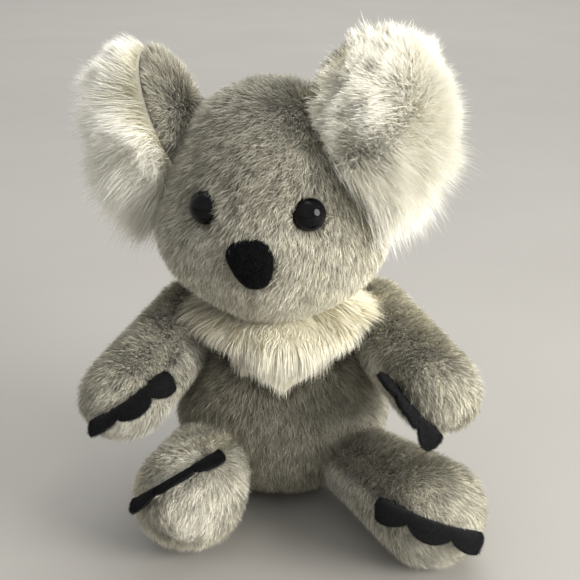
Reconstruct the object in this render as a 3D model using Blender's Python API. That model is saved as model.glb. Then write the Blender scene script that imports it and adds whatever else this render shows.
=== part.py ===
"""Sitting plush koala: sewn plush skins over stuffing, with a turning head, soft ears and four limbs.

Metres, +Z up. The toy faces -Y and its own left side is +X. The origin is the middle of the flat
seat. Every skin is as thick as its backing and pile together, so its outside is the fur's outline.
"""

import math
from collections import namedtuple

import bmesh
import bpy
from mathutils import Matrix, Vector

# Cloth and gaps
SKIN = 0.0062
SEAM_GAP = 0.0003
SEAT_GAP = 0.0003
FILLING_GAP = 0.0006
JOINT_GAP = 0.0004
GUSSET_GAP = 0.0005
SWING_GAP = 0.0009
PILE_GAP = 0.0007
OVERRUN = 0.002
CUTTER_SIZE = 0.3
WELD = 0.000001

# Torso
TORSO_WIDTH = 0.076
TORSO_DEPTH = 0.070
BELLY_HEIGHT = 0.038
SEAT_CUT = 0.0005
SEAT_PANEL_RADIUS = 0.010
SHOULDER_HEIGHT = 0.077
TORSO_LEAN = 0.008
LOWER_FULLNESS = 3.0
UPPER_FULLNESS = 2.8

# Head, measured over the fur
HEAD_WIDTH = 0.086
HEAD_DEPTH = 0.088
HEAD_HEIGHT = 0.097
HEAD_SIDE_SHIFT = 0.003
HEAD_FORWARD = 0.011
HEAD_SETTLE = 0.002
HEAD_CENTRE_HEIGHT = SHOULDER_HEIGHT + HEAD_HEIGHT / 2 - HEAD_SETTLE
HEAD_YAW_ANGLE = -9.0
HEAD_TILT_ANGLE = 1.5
MUZZLE_REACH = 0.005
MUZZLE_DROP = 0.010
MUZZLE_SPREAD_ANGLE = 30.0
NECK_RADIUS = 0.016
NECK_SUNK = 0.0085
NECK_HEIGHT = SHOULDER_HEIGHT - NECK_SUNK

# Top gusset of the head, as angles about the ear-to-ear line
GUSSET_HALF_ANGLE = 14.0
GUSSET_START_ANGLE = -4.0
GUSSET_END_ANGLE = 214.0
GUSSET_TAPER_ANGLE = 40.0
GUSSET_INSET_SHARE = 0.25

# Eyes
EYE_RADIUS = 0.006
EYE_HEIGHT = 0.0052
EYE_SPACING = 0.040
EYE_RISE = 0.0065
EYE_SUNK = 0.0045
SHANK_RADIUS = 0.0015
SHANK_LENGTH = 0.0075
WASHER_RADIUS = 0.0055
WASHER_THICKNESS = 0.0012

# Nose
NOSE_WIDTH = 0.016
NOSE_HEIGHT = 0.019
NOSE_THICKNESS = 0.0065
NOSE_DROP = 0.011
NOSE_TAPER_SHARE = 0.25
NOSE_ROLL_ANGLE = 12.0
NOSE_SUNK = 0.0035
NOSE_CROWN_SHARE = 0.7
NOSE_CORNER_SHARE = 0.75
NOSE_WIDEST_SHARE = 0.3

# Bib
BIB_PILE = 0.0055
BIB_COLLAR_DROP = 0.0015
BIB_LENGTH = 0.021
BIB_TOP = SHOULDER_HEIGHT - BIB_COLLAR_DROP
BIB_TIP = BIB_TOP - BIB_LENGTH
BIB_SWEEP_ANGLE = 100.0
BIB_POINT_SHARE = 1.3
BIB_WIDTH_SHARE = 0.96

# Ears
EAR_HEIGHT = 0.050
EAR_WIDTH = 0.046
EAR_CUP = 0.008
EAR_SKIN = 0.0062
RIGHT_EAR_SIDE = 0.034
RIGHT_EAR_RISE = 0.033
LEFT_EAR_SIDE = 0.029
LEFT_EAR_RISE = 0.038
EAR_SETBACK = 0.002
RIGHT_EAR_LEAN_ANGLE = 22.0
LEFT_EAR_LEAN_ANGLE = 8.0
RIGHT_EAR_TURN_ANGLE = 0.0
LEFT_EAR_TURN_ANGLE = 48.0
FLUFF_HEIGHT = 0.080
FLUFF_WIDTH = 0.060
FLUFF_DEPTH = 0.037
FLUFF_DROP = 0.006
EAR_ROUND_SHARE = 0.8
EAR_HINGE_SIDE = 0.036
EAR_HINGE_RISE = 0.024
EAR_FOLD_IN_ANGLE = 10.0
EAR_FOLD_OUT_ANGLE = 14.0

# Arms
ARM_ROOT_RADIUS = 0.0174
ARM_PAW_RADIUS = 0.0185
ARM_REACH = 0.0592
ARM_SPREAD = 0.0370
ARM_SETBACK = 0.0050
ARM_SHOULDER_DROP = 0.0072
ARM_HEIGHT = SHOULDER_HEIGHT - ARM_SHOULDER_DROP
ARM_WIDE_SHARE = 1.04
ARM_THICK_SHARE = 0.94
RIGHT_ARM_SEAM_RISE = 0.001
LEFT_ARM_SEAM_DROP = 0.008
RIGHT_ARM_SPLAY_ANGLE = 19.5
RIGHT_ARM_DROP_ANGLE = 8.1
RIGHT_ARM_ROLL_ANGLE = -32.0
LEFT_ARM_SPLAY_ANGLE = 18.2
LEFT_ARM_DROP_ANGLE = 5.5
LEFT_ARM_ROLL_ANGLE = -43.5

# Swing of each limb about its root, from the way it sits
ARM_RAISE_ANGLE = 19.0
ARM_LOWER_ANGLE = 1.0
LEG_SWING_ANGLE = 5.0

# Legs
LEG_ROOT_RADIUS = 0.017
LEG_FOOT_RADIUS = 0.0225
LEG_REACH = 0.041
RIGHT_LEG_SPREAD = 0.028
LEFT_LEG_SPREAD = 0.032
RIGHT_LEG_FORWARD = 0.013
LEFT_LEG_FORWARD = 0.027
LEG_HEIGHT = 0.0195
LEG_WIDE_SHARE = 1.04
LEG_THICK_SHARE = 0.98
RIGHT_LEG_SEAM_RISE = 0.0085
LEFT_LEG_SEAM_RISE = 0.001
RIGHT_LEG_SPLAY_ANGLE = 8.5
RIGHT_LEG_DROP_ANGLE = -4.0
RIGHT_LEG_ROLL_ANGLE = -34.0
LEFT_LEG_SPLAY_ANGLE = 31.5
LEFT_LEG_DROP_ANGLE = -1.0
LEFT_LEG_ROLL_ANGLE = -24.0

# Felt claws
FELT = 0.0012
CLAW_COUNT = 3
CLAW_LENGTH = 0.0090
CLAW_WEB = 0.0045
CLAW_STUB = 0.0012
CLAW_SEAM_DEPTH = 0.0045
CLAW_SWEEP_ANGLE = 104.0
CLAW_BLUNT_SHARE = 0.6
CLAW_SLOT_EXTRA_ANGLE = 1.0
CLAW_BEND_RADIUS = 0.0035
CLAW_BEND_START = 0.0006
RIGHT_ARM_CLAW_TURN_ANGLE = 38.0
LEFT_ARM_CLAW_TURN_ANGLE = 37.7
RIGHT_LEG_CLAW_TURN_ANGLE = 17.0
LEFT_LEG_CLAW_TURN_ANGLE = 37.5

# How far each claw droops over the palm or sole, from the toy's right to its left
RIGHT_ARM_DROOP_ANGLES = (15.0, 40.0, 70.0)
LEFT_ARM_DROOP_ANGLES = (0.0, 5.0, 60.0)
RIGHT_LEG_DROOP_ANGLES = (25.0, 10.0, 30.0)
LEFT_LEG_DROOP_ANGLES = (65.0, 70.0, 60.0)

# Facets
HEAD_STEPS = 8
HEAD_TURNS = 26
GUSSET_STEPS = 4
TORSO_STEPS = 7
TORSO_TURNS = 22
LIMB_TURNS = 7
SWING_STEPS = 2
LIMB_CAP_STEPS = 4
LIMB_BODY_STEPS = 3
BALL_TURNS = 20
BALL_STEPS = 10
EAR_TURNS = 24
EAR_STEPS = 8
ROUND_TURNS = 16
NOSE_TURNS = 24
NOSE_STEPS = 4
BIB_TURNS = 16
BIB_STEPS = 5
DOME_STEPS = 5
CLAW_STEPS = 24
CLAW_ROWS = 4

HALF_TURN_ANGLE = 180.0
FULL_TURN_ANGLE = 360.0
QUARTER_TURN_ANGLE = 90.0
MIDDLE_SHARE = 0.5
SHARP_EDGE_ANGLE = 50.0
SIDES = {"left": 1.0, "right": -1.0}
ROOT_OPENING_ANGLE = 58.0
BODY_START_ANGLE = 80.0
BODY_END_ANGLE = 100.0


LimbSizes = namedtuple("LimbSizes", "root tip reach wide_share thick_share rise claw_turn droops")


def clear_scene():
    for thing in list(bpy.data.objects):
        bpy.data.objects.remove(thing, do_unlink=True)


def make_material(name, colour, roughness, sheen=0.0):
    material = bpy.data.materials.new(name)
    material.use_nodes = True
    shader = material.node_tree.nodes["Principled BSDF"]
    shader.inputs["Base Color"].default_value = (*colour, 1.0)
    shader.inputs["Roughness"].default_value = roughness
    shader.inputs["Metallic"].default_value = 0.0
    shader.inputs["Sheen Weight"].default_value = sheen
    return material


def make_materials():
    return {
        "grey_plush": make_material("grey_plush", (0.36, 0.34, 0.29), 0.95, 0.5),
        "pale_plush": make_material("pale_plush", (0.55, 0.52, 0.45), 0.95, 0.5),
        "white_pile": make_material("white_pile", (0.83, 0.80, 0.70), 0.9, 0.5),
        "black_felt": make_material("black_felt", (0.015, 0.015, 0.017), 0.95),
        "black_flock": make_material("black_flock", (0.008, 0.008, 0.008), 1.0, 0.3),
        "eye_gloss": make_material("eye_gloss", (0.006, 0.006, 0.008), 0.06),
        "stuffing": make_material("stuffing", (0.85, 0.85, 0.83), 1.0),
        "washer_plastic": make_material("washer_plastic", (0.75, 0.75, 0.73), 0.4),
    }


def finish_object(name, mesh, material, parent):
    thing = bpy.data.objects.new(name, mesh)
    bpy.context.scene.collection.objects.link(thing)
    if material is not None:
        mesh.materials.append(material)
    thing.parent = parent
    mesh.shade_smooth()
    mesh.set_sharp_from_angle(angle=math.radians(SHARP_EDGE_ANGLE))
    return thing


def mesh_from_faces(name, points, faces):
    mesh = bpy.data.meshes.new(name)
    mesh.from_pydata([tuple(point) for point in points], [], faces)
    work = bmesh.new()
    work.from_mesh(mesh)
    bmesh.ops.remove_doubles(work, verts=work.verts, dist=WELD)
    bmesh.ops.recalc_face_normals(work, faces=work.faces)
    work.to_mesh(mesh)
    work.free()
    return mesh


def make_pivot(name, frame, parent=None):
    """An empty on a joint's axis, which carries the pieces that move with it."""
    pivot = bpy.data.objects.new(name, None)
    bpy.context.scene.collection.objects.link(pivot)
    pivot.parent = parent
    pivot.matrix_local = frame
    return pivot


def grid_faces(rows, columns, first, wrap):
    """Quads over a grid of points that starts at index first."""
    last = columns if wrap else columns - 1
    faces = []
    for row in range(rows - 1):
        for column in range(last):
            beside = (column + 1) % columns
            start = first + row * columns
            under = start + columns
            faces.append((start + column, start + beside, under + beside, under + column))
    return faces


def row_rim(columns, upper, lower, wrap):
    """Quads that join one row of the outer grid to the same row of the inner grid."""
    last = columns if wrap else columns - 1
    faces = []
    for column in range(last):
        beside = (column + 1) % columns
        faces.append((upper + column, upper + beside, lower + beside, lower + column))
    return faces


def column_rim(rows, columns, column, inner_start):
    faces = []
    for row in range(rows - 1):
        near = row * columns + column
        far = near + columns
        faces.append((near, far, far + inner_start, near + inner_start))
    return faces


def shell_from_grids(name, outer, inner, wrap, start_pole=False, end_pole=False):
    """A sewn panel: an outer and an inner grid of points, closed along every free edge."""
    rows = len(outer)
    columns = len(outer[0])
    points = [point for row in outer for point in row] + [point for row in inner for point in row]
    inner_start = rows * columns
    faces = grid_faces(rows, columns, 0, wrap)
    faces += [face[::-1] for face in grid_faces(rows, columns, inner_start, wrap)]
    last_row = (rows - 1) * columns
    if not start_pole:
        faces += row_rim(columns, 0, inner_start, wrap)
    if not end_pole:
        faces += row_rim(columns, last_row, inner_start + last_row, wrap)
    if not wrap:
        faces += column_rim(rows, columns, 0, inner_start)
        faces += column_rim(rows, columns, columns - 1, inner_start)
    return mesh_from_faces(name, points, faces)


def solid_from_rings(name, rings):
    """A closed form whose first and last rings are single points."""
    columns = len(rings[0])
    points = [point for ring in rings for point in ring]
    return mesh_from_faces(name, points, grid_faces(len(rings), columns, 0, True))


def angles_between(start, end, steps):
    return [start + (end - start) * step / steps for step in range(steps + 1)]


def smooth(value):
    value = min(max(value, 0.0), 1.0)
    return value * value * (3.0 - 2.0 * value)


def polar_direction(polar, turn):
    """Unit vector; polar is counted from the toy's left, turn from the front over the top."""
    polar = math.radians(polar)
    turn = math.radians(turn)
    ring = math.sin(polar)
    return Vector((math.cos(polar), -ring * math.cos(turn), ring * math.sin(turn)))


def head_radius(direction):
    half_sizes = (HEAD_WIDTH / 2, HEAD_DEPTH / 2, HEAD_HEIGHT / 2)
    scaled = Vector([part / size for part, size in zip(direction, half_sizes)])
    muzzle = Vector((0.0, -HEAD_DEPTH / 2, -MUZZLE_DROP)).normalized()
    away = math.degrees(math.acos(max(-1.0, min(1.0, direction.dot(muzzle)))))
    return 1.0 / scaled.length + MUZZLE_REACH * math.exp(-((away / MUZZLE_SPREAD_ANGLE) ** 2))


def head_point(polar, turn, depth):
    direction = polar_direction(polar, turn)
    return direction * (head_radius(direction) - depth)


def torso_point(polar, turn, depth):
    """The torso swells at the belly, leans forward at the top and is flat under the seat."""
    direction = polar_direction(polar, turn)
    across = math.hypot(2 * direction.x / TORSO_WIDTH, 2 * direction.y / TORSO_DEPTH)
    if direction.z > 0.0:
        tall = direction.z / (SHOULDER_HEIGHT - BELLY_HEIGHT)
        fullness = UPPER_FULLNESS
    else:
        tall = -direction.z / (BELLY_HEIGHT + SEAT_CUT)
        fullness = LOWER_FULLNESS
    radius = (across**fullness + tall**fullness) ** (-1.0 / fullness)
    point = direction * (radius - depth)
    point.z = max(point.z + BELLY_HEIGHT, depth)
    point.y -= TORSO_LEAN * point.z / SHOULDER_HEIGHT
    return point


def side_edge(turn, half_width):
    """Polar angle at which a side panel of the head meets the gusset or the other side."""
    from_start = (turn - GUSSET_START_ANGLE) / GUSSET_TAPER_ANGLE
    from_end = (GUSSET_END_ANGLE - turn) / GUSSET_TAPER_ANGLE
    share = smooth(min(from_start, from_end))
    return QUARTER_TURN_ANGLE - half_width * share


def side_shell(name, point_at, edge_at, side, steps, turns, lift):
    """Half of a stuffed form, as a bowl that opens on the middle seam."""
    shift = Vector((side * lift, 0.0, 0.0))

    def layer(depth):
        rows = []
        for step in range(steps + 1):
            row = []
            for index in range(turns):
                turn = FULL_TURN_ANGLE * index / turns
                polar = edge_at(turn) * step / steps
                point = point_at(polar, turn, depth)
                row.append(Vector((side * point.x, point.y, point.z)) + shift)
            rows.append(row)
        return rows

    return shell_from_grids(name, layer(0.0), layer(SKIN), True, start_pole=True)


def stuffed_solid(name, point_at, depth, steps, turns):
    rings = []
    for polar in angles_between(0.0, HALF_TURN_ANGLE, steps):
        rings.append([point_at(polar, FULL_TURN_ANGLE * index / turns, depth) for index in range(turns)])
    return solid_from_rings(name, rings)


def as_cutter(thing):
    thing.hide_render = True
    thing.display_type = "WIRE"
    return thing


def ball_mesh(name, radius, scale=(1.0, 1.0, 1.0)):
    """A ball whose flat facets lie outside the true radius."""
    turn_share = math.cos(math.pi / BALL_TURNS)
    step_share = math.cos(math.pi / (2 * BALL_STEPS))
    mesh = bpy.data.meshes.new(name)
    work = bmesh.new()
    bmesh.ops.create_uvsphere(
        work,
        u_segments=BALL_TURNS,
        v_segments=BALL_STEPS,
        radius=radius / (turn_share * step_share),
    )
    bmesh.ops.scale(work, vec=scale, verts=work.verts)
    work.to_mesh(mesh)
    work.free()
    return mesh


def ball_cutter(name, radius, parent, place=(0.0, 0.0, 0.0), scale=(1.0, 1.0, 1.0)):
    cutter = finish_object(name, ball_mesh(name, radius, scale), None, parent)
    cutter.location = place
    return as_cutter(cutter)


def cut(thing, *cutters):
    for cutter in cutters:
        step = thing.modifiers.new(f"cut_{cutter.name}", "BOOLEAN")
        step.operation = "DIFFERENCE"
        step.solver = "EXACT"
        step.object = cutter


def join(thing, other):
    step = thing.modifiers.new(f"join_{other.name}", "BOOLEAN")
    step.operation = "UNION"
    step.solver = "EXACT"
    step.object = other


def circle_ring(radius, height, turns):
    angles = [math.tau * index / turns for index in range(turns)]
    return [Vector((radius * math.cos(angle), radius * math.sin(angle), height)) for angle in angles]


def turned_mesh(name, profile, turns):
    """A form turned about local Z from (radius, height) pairs that start and end on the axis."""
    return solid_from_rings(name, [circle_ring(radius, height, turns) for radius, height in profile])


def outward_frame(place, direction):
    """Frame at place whose local Z runs along direction and whose local Y leans upwards."""
    forward = direction.normalized()
    across = Vector((0.0, 0.0, 1.0)).cross(forward).normalized()
    upward = forward.cross(across)
    turn = Matrix((across, upward, forward)).transposed()
    return Matrix.Translation(place) @ turn.to_4x4()


def limb_sizes(kind, side_name):
    """Sizes of one limb, with the rise of its seam at the paw and the turn and droop of its claws."""
    seams = {
        ("arm", "right"): (RIGHT_ARM_SEAM_RISE, RIGHT_ARM_CLAW_TURN_ANGLE, RIGHT_ARM_DROOP_ANGLES),
        ("arm", "left"): (-LEFT_ARM_SEAM_DROP, -LEFT_ARM_CLAW_TURN_ANGLE, LEFT_ARM_DROOP_ANGLES),
        ("leg", "right"): (RIGHT_LEG_SEAM_RISE, RIGHT_LEG_CLAW_TURN_ANGLE, RIGHT_LEG_DROOP_ANGLES),
        ("leg", "left"): (LEFT_LEG_SEAM_RISE, -LEFT_LEG_CLAW_TURN_ANGLE, LEFT_LEG_DROOP_ANGLES),
    }
    rise, claw_turn, droops = seams[kind, side_name]
    if kind == "arm":
        return LimbSizes(
            root=ARM_ROOT_RADIUS,
            tip=ARM_PAW_RADIUS,
            reach=ARM_REACH,
            wide_share=ARM_WIDE_SHARE,
            thick_share=ARM_THICK_SHARE,
            rise=rise,
            claw_turn=claw_turn,
            droops=droops,
        )
    return LimbSizes(
        root=LEG_ROOT_RADIUS,
        tip=LEG_FOOT_RADIUS,
        reach=LEG_REACH,
        wide_share=LEG_WIDE_SHARE,
        thick_share=LEG_THICK_SHARE,
        rise=rise,
        claw_turn=claw_turn,
        droops=droops,
    )


def limb_frame(kind, side_name):
    places = {
        ("arm", "right"): (ARM_SPREAD, -ARM_SETBACK, ARM_HEIGHT),
        ("arm", "left"): (ARM_SPREAD, -ARM_SETBACK, ARM_HEIGHT),
        ("leg", "right"): (RIGHT_LEG_SPREAD, RIGHT_LEG_FORWARD, LEG_HEIGHT),
        ("leg", "left"): (LEFT_LEG_SPREAD, LEFT_LEG_FORWARD, LEG_HEIGHT),
    }
    aims = {
        ("arm", "right"): (RIGHT_ARM_SPLAY_ANGLE, RIGHT_ARM_DROP_ANGLE, RIGHT_ARM_ROLL_ANGLE),
        ("arm", "left"): (LEFT_ARM_SPLAY_ANGLE, LEFT_ARM_DROP_ANGLE, LEFT_ARM_ROLL_ANGLE),
        ("leg", "right"): (RIGHT_LEG_SPLAY_ANGLE, RIGHT_LEG_DROP_ANGLE, RIGHT_LEG_ROLL_ANGLE),
        ("leg", "left"): (LEFT_LEG_SPLAY_ANGLE, LEFT_LEG_DROP_ANGLE, LEFT_LEG_ROLL_ANGLE),
    }
    side = SIDES[side_name]
    spread, forward, height = places[kind, side_name]
    splay, drop, roll = (math.radians(angle) for angle in aims[kind, side_name])
    place = Matrix.Translation((side * spread, -forward, height))
    aim = Matrix.Rotation(side * splay, 4, "Z") @ Matrix.Rotation(drop, 4, "X")
    level = Matrix.Rotation(math.pi / 2, 4, "X")
    return place @ aim @ level @ Matrix.Rotation(side * roll, 4, "Z")


def limb_point(sizes, station, turn, depth):
    """Local Z runs from the root ball's centre to the paw's centre; station is 0 to 180 degrees."""
    share = smooth((station - BODY_START_ANGLE) / (BODY_END_ANGLE - BODY_START_ANGLE))
    radius = sizes.root + (sizes.tip - sizes.root) * share - depth
    ring = radius * math.sin(math.radians(station))
    along = sizes.reach * share - radius * math.cos(math.radians(station))
    turn = math.radians(turn)
    across = ring * math.cos(turn) * (1.0 + (sizes.wide_share - 1.0) * share)
    upward = ring * math.sin(turn) * (1.0 + (sizes.thick_share - 1.0) * share)
    return Vector((across, upward, along))


def limb_stations(start):
    stations = angles_between(start, BODY_START_ANGLE, LIMB_CAP_STEPS // 2)
    stations += angles_between(BODY_START_ANGLE, BODY_END_ANGLE, LIMB_BODY_STEPS)[1:]
    return stations + angles_between(BODY_END_ANGLE, HALF_TURN_ANGLE, LIMB_CAP_STEPS)[1:]


def limb_shell(name, sizes):
    """Skin of a whole limb, open at the root; its two panels are cut from it at the seam."""

    def layer(depth):
        return [limb_ring(sizes, station, depth) for station in limb_stations(ROOT_OPENING_ANGLE)]

    return shell_from_grids(name, layer(0.0), layer(SKIN), True, end_pole=True)


def limb_ring(sizes, station, depth):
    count = 2 * LIMB_TURNS
    turns = [FULL_TURN_ANGLE * (index + MIDDLE_SHARE) / count for index in range(count)]
    return [limb_point(sizes, station, turn, depth) for turn in turns]


def limb_stuffing(name, sizes):
    """The stuffing fills the skin and bulges out of its open root as a ball."""
    depth = SKIN + FILLING_GAP
    rim = ROOT_OPENING_ANGLE - math.degrees(SEAT_GAP / sizes.root)
    stations = [(station, 0.0) for station in angles_between(0.0, rim, LIMB_CAP_STEPS)]
    stations.append((rim, depth))
    stations += [(station, depth) for station in limb_stations(ROOT_OPENING_ANGLE)]
    rings = [limb_ring(sizes, station, under) for station, under in stations]
    return solid_from_rings(name, rings)


def seam_tilt(sizes):
    """Angle of the seam plane, which climbs from the limb's root to the top of the paw's face."""
    return math.asin(sizes.rise / sizes.reach)


def claw_edge(sizes, angle, extra):
    """Point of the seam line round the paw's tip, moved out of the paw by extra."""
    radius = math.sqrt(sizes.tip**2 - sizes.rise**2) + extra
    centre = math.sqrt(sizes.reach**2 - sizes.rise**2)
    turn = math.radians(angle + sizes.claw_turn)
    return (radius * sizes.wide_share * math.sin(turn), centre + radius * math.cos(turn))


def half_space(name, up, parent):
    """Cutter on one side of the seam plane, which is local XZ, kept half the seam's gap off it."""
    mesh = bpy.data.meshes.new(name)
    work = bmesh.new()
    bmesh.ops.create_cube(work, size=CUTTER_SIZE)
    bmesh.ops.translate(work, vec=(0.0, up * (CUTTER_SIZE - SEAM_GAP) / 2, 0.0), verts=work.verts)
    work.to_mesh(mesh)
    work.free()
    return as_cutter(finish_object(name, mesh, None, parent))


def claw_length(share):
    """How far the strip of rounded claws, side by side on one web, stands out of the seam."""
    lobe = abs(math.sin(math.pi * CLAW_COUNT * share)) ** CLAW_BLUNT_SHARE
    end = min(math.sin(math.pi * share) * CLAW_COUNT, 1.0)
    return CLAW_WEB * end + (CLAW_LENGTH - CLAW_WEB) * lobe


def claw_droop(droops, share):
    """Bend of the felt, in radians, blended from claw to claw along the strip."""
    place = share * CLAW_COUNT - MIDDLE_SHARE
    place = min(max(place, 0.0), CLAW_COUNT - 1.0)
    before = min(int(place), CLAW_COUNT - 2)
    blend = smooth(place - before)
    return math.radians(droops[before] + (droops[before + 1] - droops[before]) * blend)


def bent_point(out, droop, lift):
    """Where felt that leaves the seam by out comes to lie: outwards and down, lifted off its middle."""
    start = CLAW_BEND_START
    bent = min(max((out - start) / CLAW_BEND_RADIUS, 0.0), droop)
    straight = max(out - start - CLAW_BEND_RADIUS * droop, 0.0)
    outward = min(out, start) + CLAW_BEND_RADIUS * math.sin(bent) + straight * math.cos(bent)
    down = CLAW_BEND_RADIUS * (1.0 - math.cos(bent)) + straight * math.sin(bent)
    return outward + lift * math.sin(bent), lift * math.cos(bent) - down


def claw_point(sizes, share, out, lift):
    angle = CLAW_SWEEP_ANGLE * (share - MIDDLE_SHARE)
    outward, upward = bent_point(out, claw_droop(sizes.droops, share), lift)
    across, along = claw_edge(sizes, angle, outward)
    return Vector((across, upward, along))


def claw_mesh(name, sizes):
    """One strip of felt claws, flat in the seam and drooping outside it."""

    def layer(lift):
        rows = []
        for step in range(CLAW_STEPS + 1):
            share = step / CLAW_STEPS
            end = max(claw_length(share), CLAW_STUB)
            outs = [-CLAW_SEAM_DEPTH, *angles_between(CLAW_BEND_START, end, CLAW_ROWS)]
            rows.append([claw_point(sizes, share, out, lift) for out in outs])
        return rows

    return shell_from_grids(name, layer(FELT / 2), layer(-FELT / 2), False)


def claw_slot(name, sizes, parent):
    """Room for the felt between the two panels, with the seam's gap all round it."""
    outer = []
    inner = []
    half = CLAW_SWEEP_ANGLE / 2 + CLAW_SLOT_EXTRA_ANGLE
    for angle in angles_between(-half, half, CLAW_STEPS):
        outer.append(claw_edge(sizes, angle, CLAW_LENGTH))
        inner.append(claw_edge(sizes, angle, -CLAW_SEAM_DEPTH - SEAT_GAP))
    thickness = FELT + 2 * SEAT_GAP
    work = bmesh.new()
    corners = outer + inner[::-1]
    base = [work.verts.new((across, -thickness / 2, along)) for across, along in corners]
    face = work.faces.new(base)
    lifted = bmesh.ops.extrude_face_region(work, geom=[face])["geom"]
    corners = [item for item in lifted if isinstance(item, bmesh.types.BMVert)]
    bmesh.ops.translate(work, vec=(0.0, thickness, 0.0), verts=corners)
    bmesh.ops.recalc_face_normals(work, faces=work.faces)
    mesh = bpy.data.meshes.new(name)
    work.to_mesh(mesh)
    work.free()
    return as_cutter(finish_object(name, mesh, None, parent))


def build_limb(kind, side_name, materials):
    """One sewn limb; returns the cutter that dents the torso where its root presses in."""
    sizes = limb_sizes(kind, side_name)
    prefix = f"{kind}_{side_name}"
    under_name = {"arm": "palm", "leg": "sole"}[kind]
    pivot = make_pivot(f"{prefix}_pivot", limb_frame(kind, side_name))
    room = swing_room(kind, side_name, pivot)
    seam = make_pivot(f"{prefix}_seam", Matrix.Rotation(-seam_tilt(sizes), 4, "X"), pivot)
    slot = claw_slot(f"{prefix}_claw_slot", sizes, seam)
    above = half_space(f"{prefix}_above_seam", 1.0, seam)
    below = half_space(f"{prefix}_below_seam", -1.0, seam)
    upper_name = f"{prefix}_upper"
    upper = limb_shell(upper_name, sizes)
    upper = finish_object(upper_name, upper, materials["grey_plush"], pivot)
    cut(upper, below)
    lower_name = f"{prefix}_{under_name}"
    lower = limb_shell(lower_name, sizes)
    lower = finish_object(lower_name, lower, materials["pale_plush"], pivot)
    cut(lower, above)
    filling_name = f"{prefix}_stuffing"
    filling = limb_stuffing(filling_name, sizes)
    filling = finish_object(filling_name, filling, materials["stuffing"], pivot)
    claws_name = f"{prefix}_claws"
    claws = claw_mesh(claws_name, sizes)
    finish_object(claws_name, claws, materials["black_felt"], seam)
    cut(upper, slot)
    cut(lower, slot)
    if kind == "leg":
        floor = floor_cutter(f"{prefix}_floor")
        cut(upper, floor)
        cut(lower, floor)
    return room


def swing_room(kind, side_name, pivot):
    """All that the limb passes through on its way from one end of its swing to the other."""
    axis, start, end = {
        "arm": (Vector((1.0, 0.0, 0.0)), -ARM_RAISE_ANGLE, ARM_LOWER_ANGLE),
        "leg": (Vector((0.0, 0.0, 1.0)), -LEG_SWING_ANGLE, LEG_SWING_ANGLE),
    }[kind]
    name = f"{kind}_{side_name}_room"
    sizes = limb_sizes(kind, side_name)
    facing = limb_frame(kind, side_name).to_3x3()
    work = bmesh.new()
    for angle in angles_between(start, end, SWING_STEPS):
        swing = facing.inverted() @ Matrix.Rotation(math.radians(angle), 3, axis) @ facing
        for station in [0.0, *limb_stations(ROOT_OPENING_ANGLE / 2)]:
            for point in limb_ring(sizes, station, -SWING_GAP):
                work.verts.new(swing @ point)
    bmesh.ops.remove_doubles(work, verts=work.verts, dist=WELD)
    hull = bmesh.ops.convex_hull(work, input=work.verts)
    bmesh.ops.delete(work, geom=hull["geom_interior"], context="VERTS")
    bmesh.ops.recalc_face_normals(work, faces=work.faces)
    mesh = bpy.data.meshes.new(name)
    work.to_mesh(mesh)
    work.free()
    return as_cutter(finish_object(name, mesh, None, pivot))


def floor_cutter(name):
    """Everything below the surface that the toy sits on."""
    mesh = bpy.data.meshes.new(name)
    work = bmesh.new()
    bmesh.ops.create_cube(work, size=CUTTER_SIZE)
    work.to_mesh(mesh)
    work.free()
    cutter = finish_object(name, mesh, None, None)
    cutter.location = (0.0, 0.0, -CUTTER_SIZE / 2)
    return as_cutter(cutter)


def build_torso(materials, root_rooms, neck_room):
    def middle(turn):
        return QUARTER_TURN_ANGLE

    base_step = (SEAT_PANEL_RADIUS + SEAM_GAP, SKIN + OVERRUN, -OVERRUN)
    base_room = drum_cutter("seat_panel_room", None, base_step)
    base = [(0.0, SKIN), (SEAT_PANEL_RADIUS, SKIN), (SEAT_PANEL_RADIUS, 0.0), (0.0, 0.0)]
    base = turned_mesh("seat_panel", base, ROUND_TURNS)
    finish_object("seat_panel", base, materials["grey_plush"], None)
    depth = SKIN + FILLING_GAP
    filling = stuffed_solid("torso_stuffing", torso_point, depth, TORSO_STEPS, TORSO_TURNS // 2)
    filling = finish_object("torso_stuffing", filling, materials["stuffing"], None)
    for side_name, side in SIDES.items():
        name = f"torso_panel_{side_name}"
        lift = SEAM_GAP / 2
        mesh = side_shell(name, torso_point, middle, side, TORSO_STEPS, TORSO_TURNS, lift)
        panel = finish_object(name, mesh, materials["grey_plush"], None)
        cut(panel, *root_rooms, neck_room, base_room)
    neck = ball_cutter("neck_ball", NECK_RADIUS, None, neck_place())
    join(filling, neck)
    cut(filling, *root_rooms)


def neck_place():
    return Vector((-HEAD_SIDE_SHIFT, -HEAD_FORWARD, NECK_HEIGHT))


def bib_point(across, down, lift):
    """Point over the chest: across is -1 to 1 from side to side, down is 0 to 1."""
    turn_out = math.radians(across * BIB_SWEEP_ANGLE)
    lowest = BIB_TOP - (BIB_TOP - BIB_TIP) * (1.0 - abs(across) ** BIB_POINT_SHARE)
    height = BIB_TOP + (lowest - BIB_TOP) * down
    rise = (height - BIB_TOP) / (SHOULDER_HEIGHT - BELLY_HEIGHT)
    return chest_surface(turn_out, height, lift, rise)


def chest_surface(turn_out, height, lift, rise):
    """Where the torso's surface lies at this height, lifted off it by lift."""
    tall = (height - BELLY_HEIGHT) / (SHOULDER_HEIGHT - BELLY_HEIGHT)
    ring = max(1.0 - abs(tall) ** UPPER_FULLNESS, 0.0) ** (1.0 / UPPER_FULLNESS)
    half_width = TORSO_WIDTH / 2 * ring + lift
    half_depth = TORSO_DEPTH / 2 * ring + lift
    lean = TORSO_LEAN * height / SHOULDER_HEIGHT
    across = half_width * math.sin(turn_out)
    forward = -half_depth * math.cos(turn_out) - lean
    return Vector((across, forward, height + lift + lift * rise))


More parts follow.
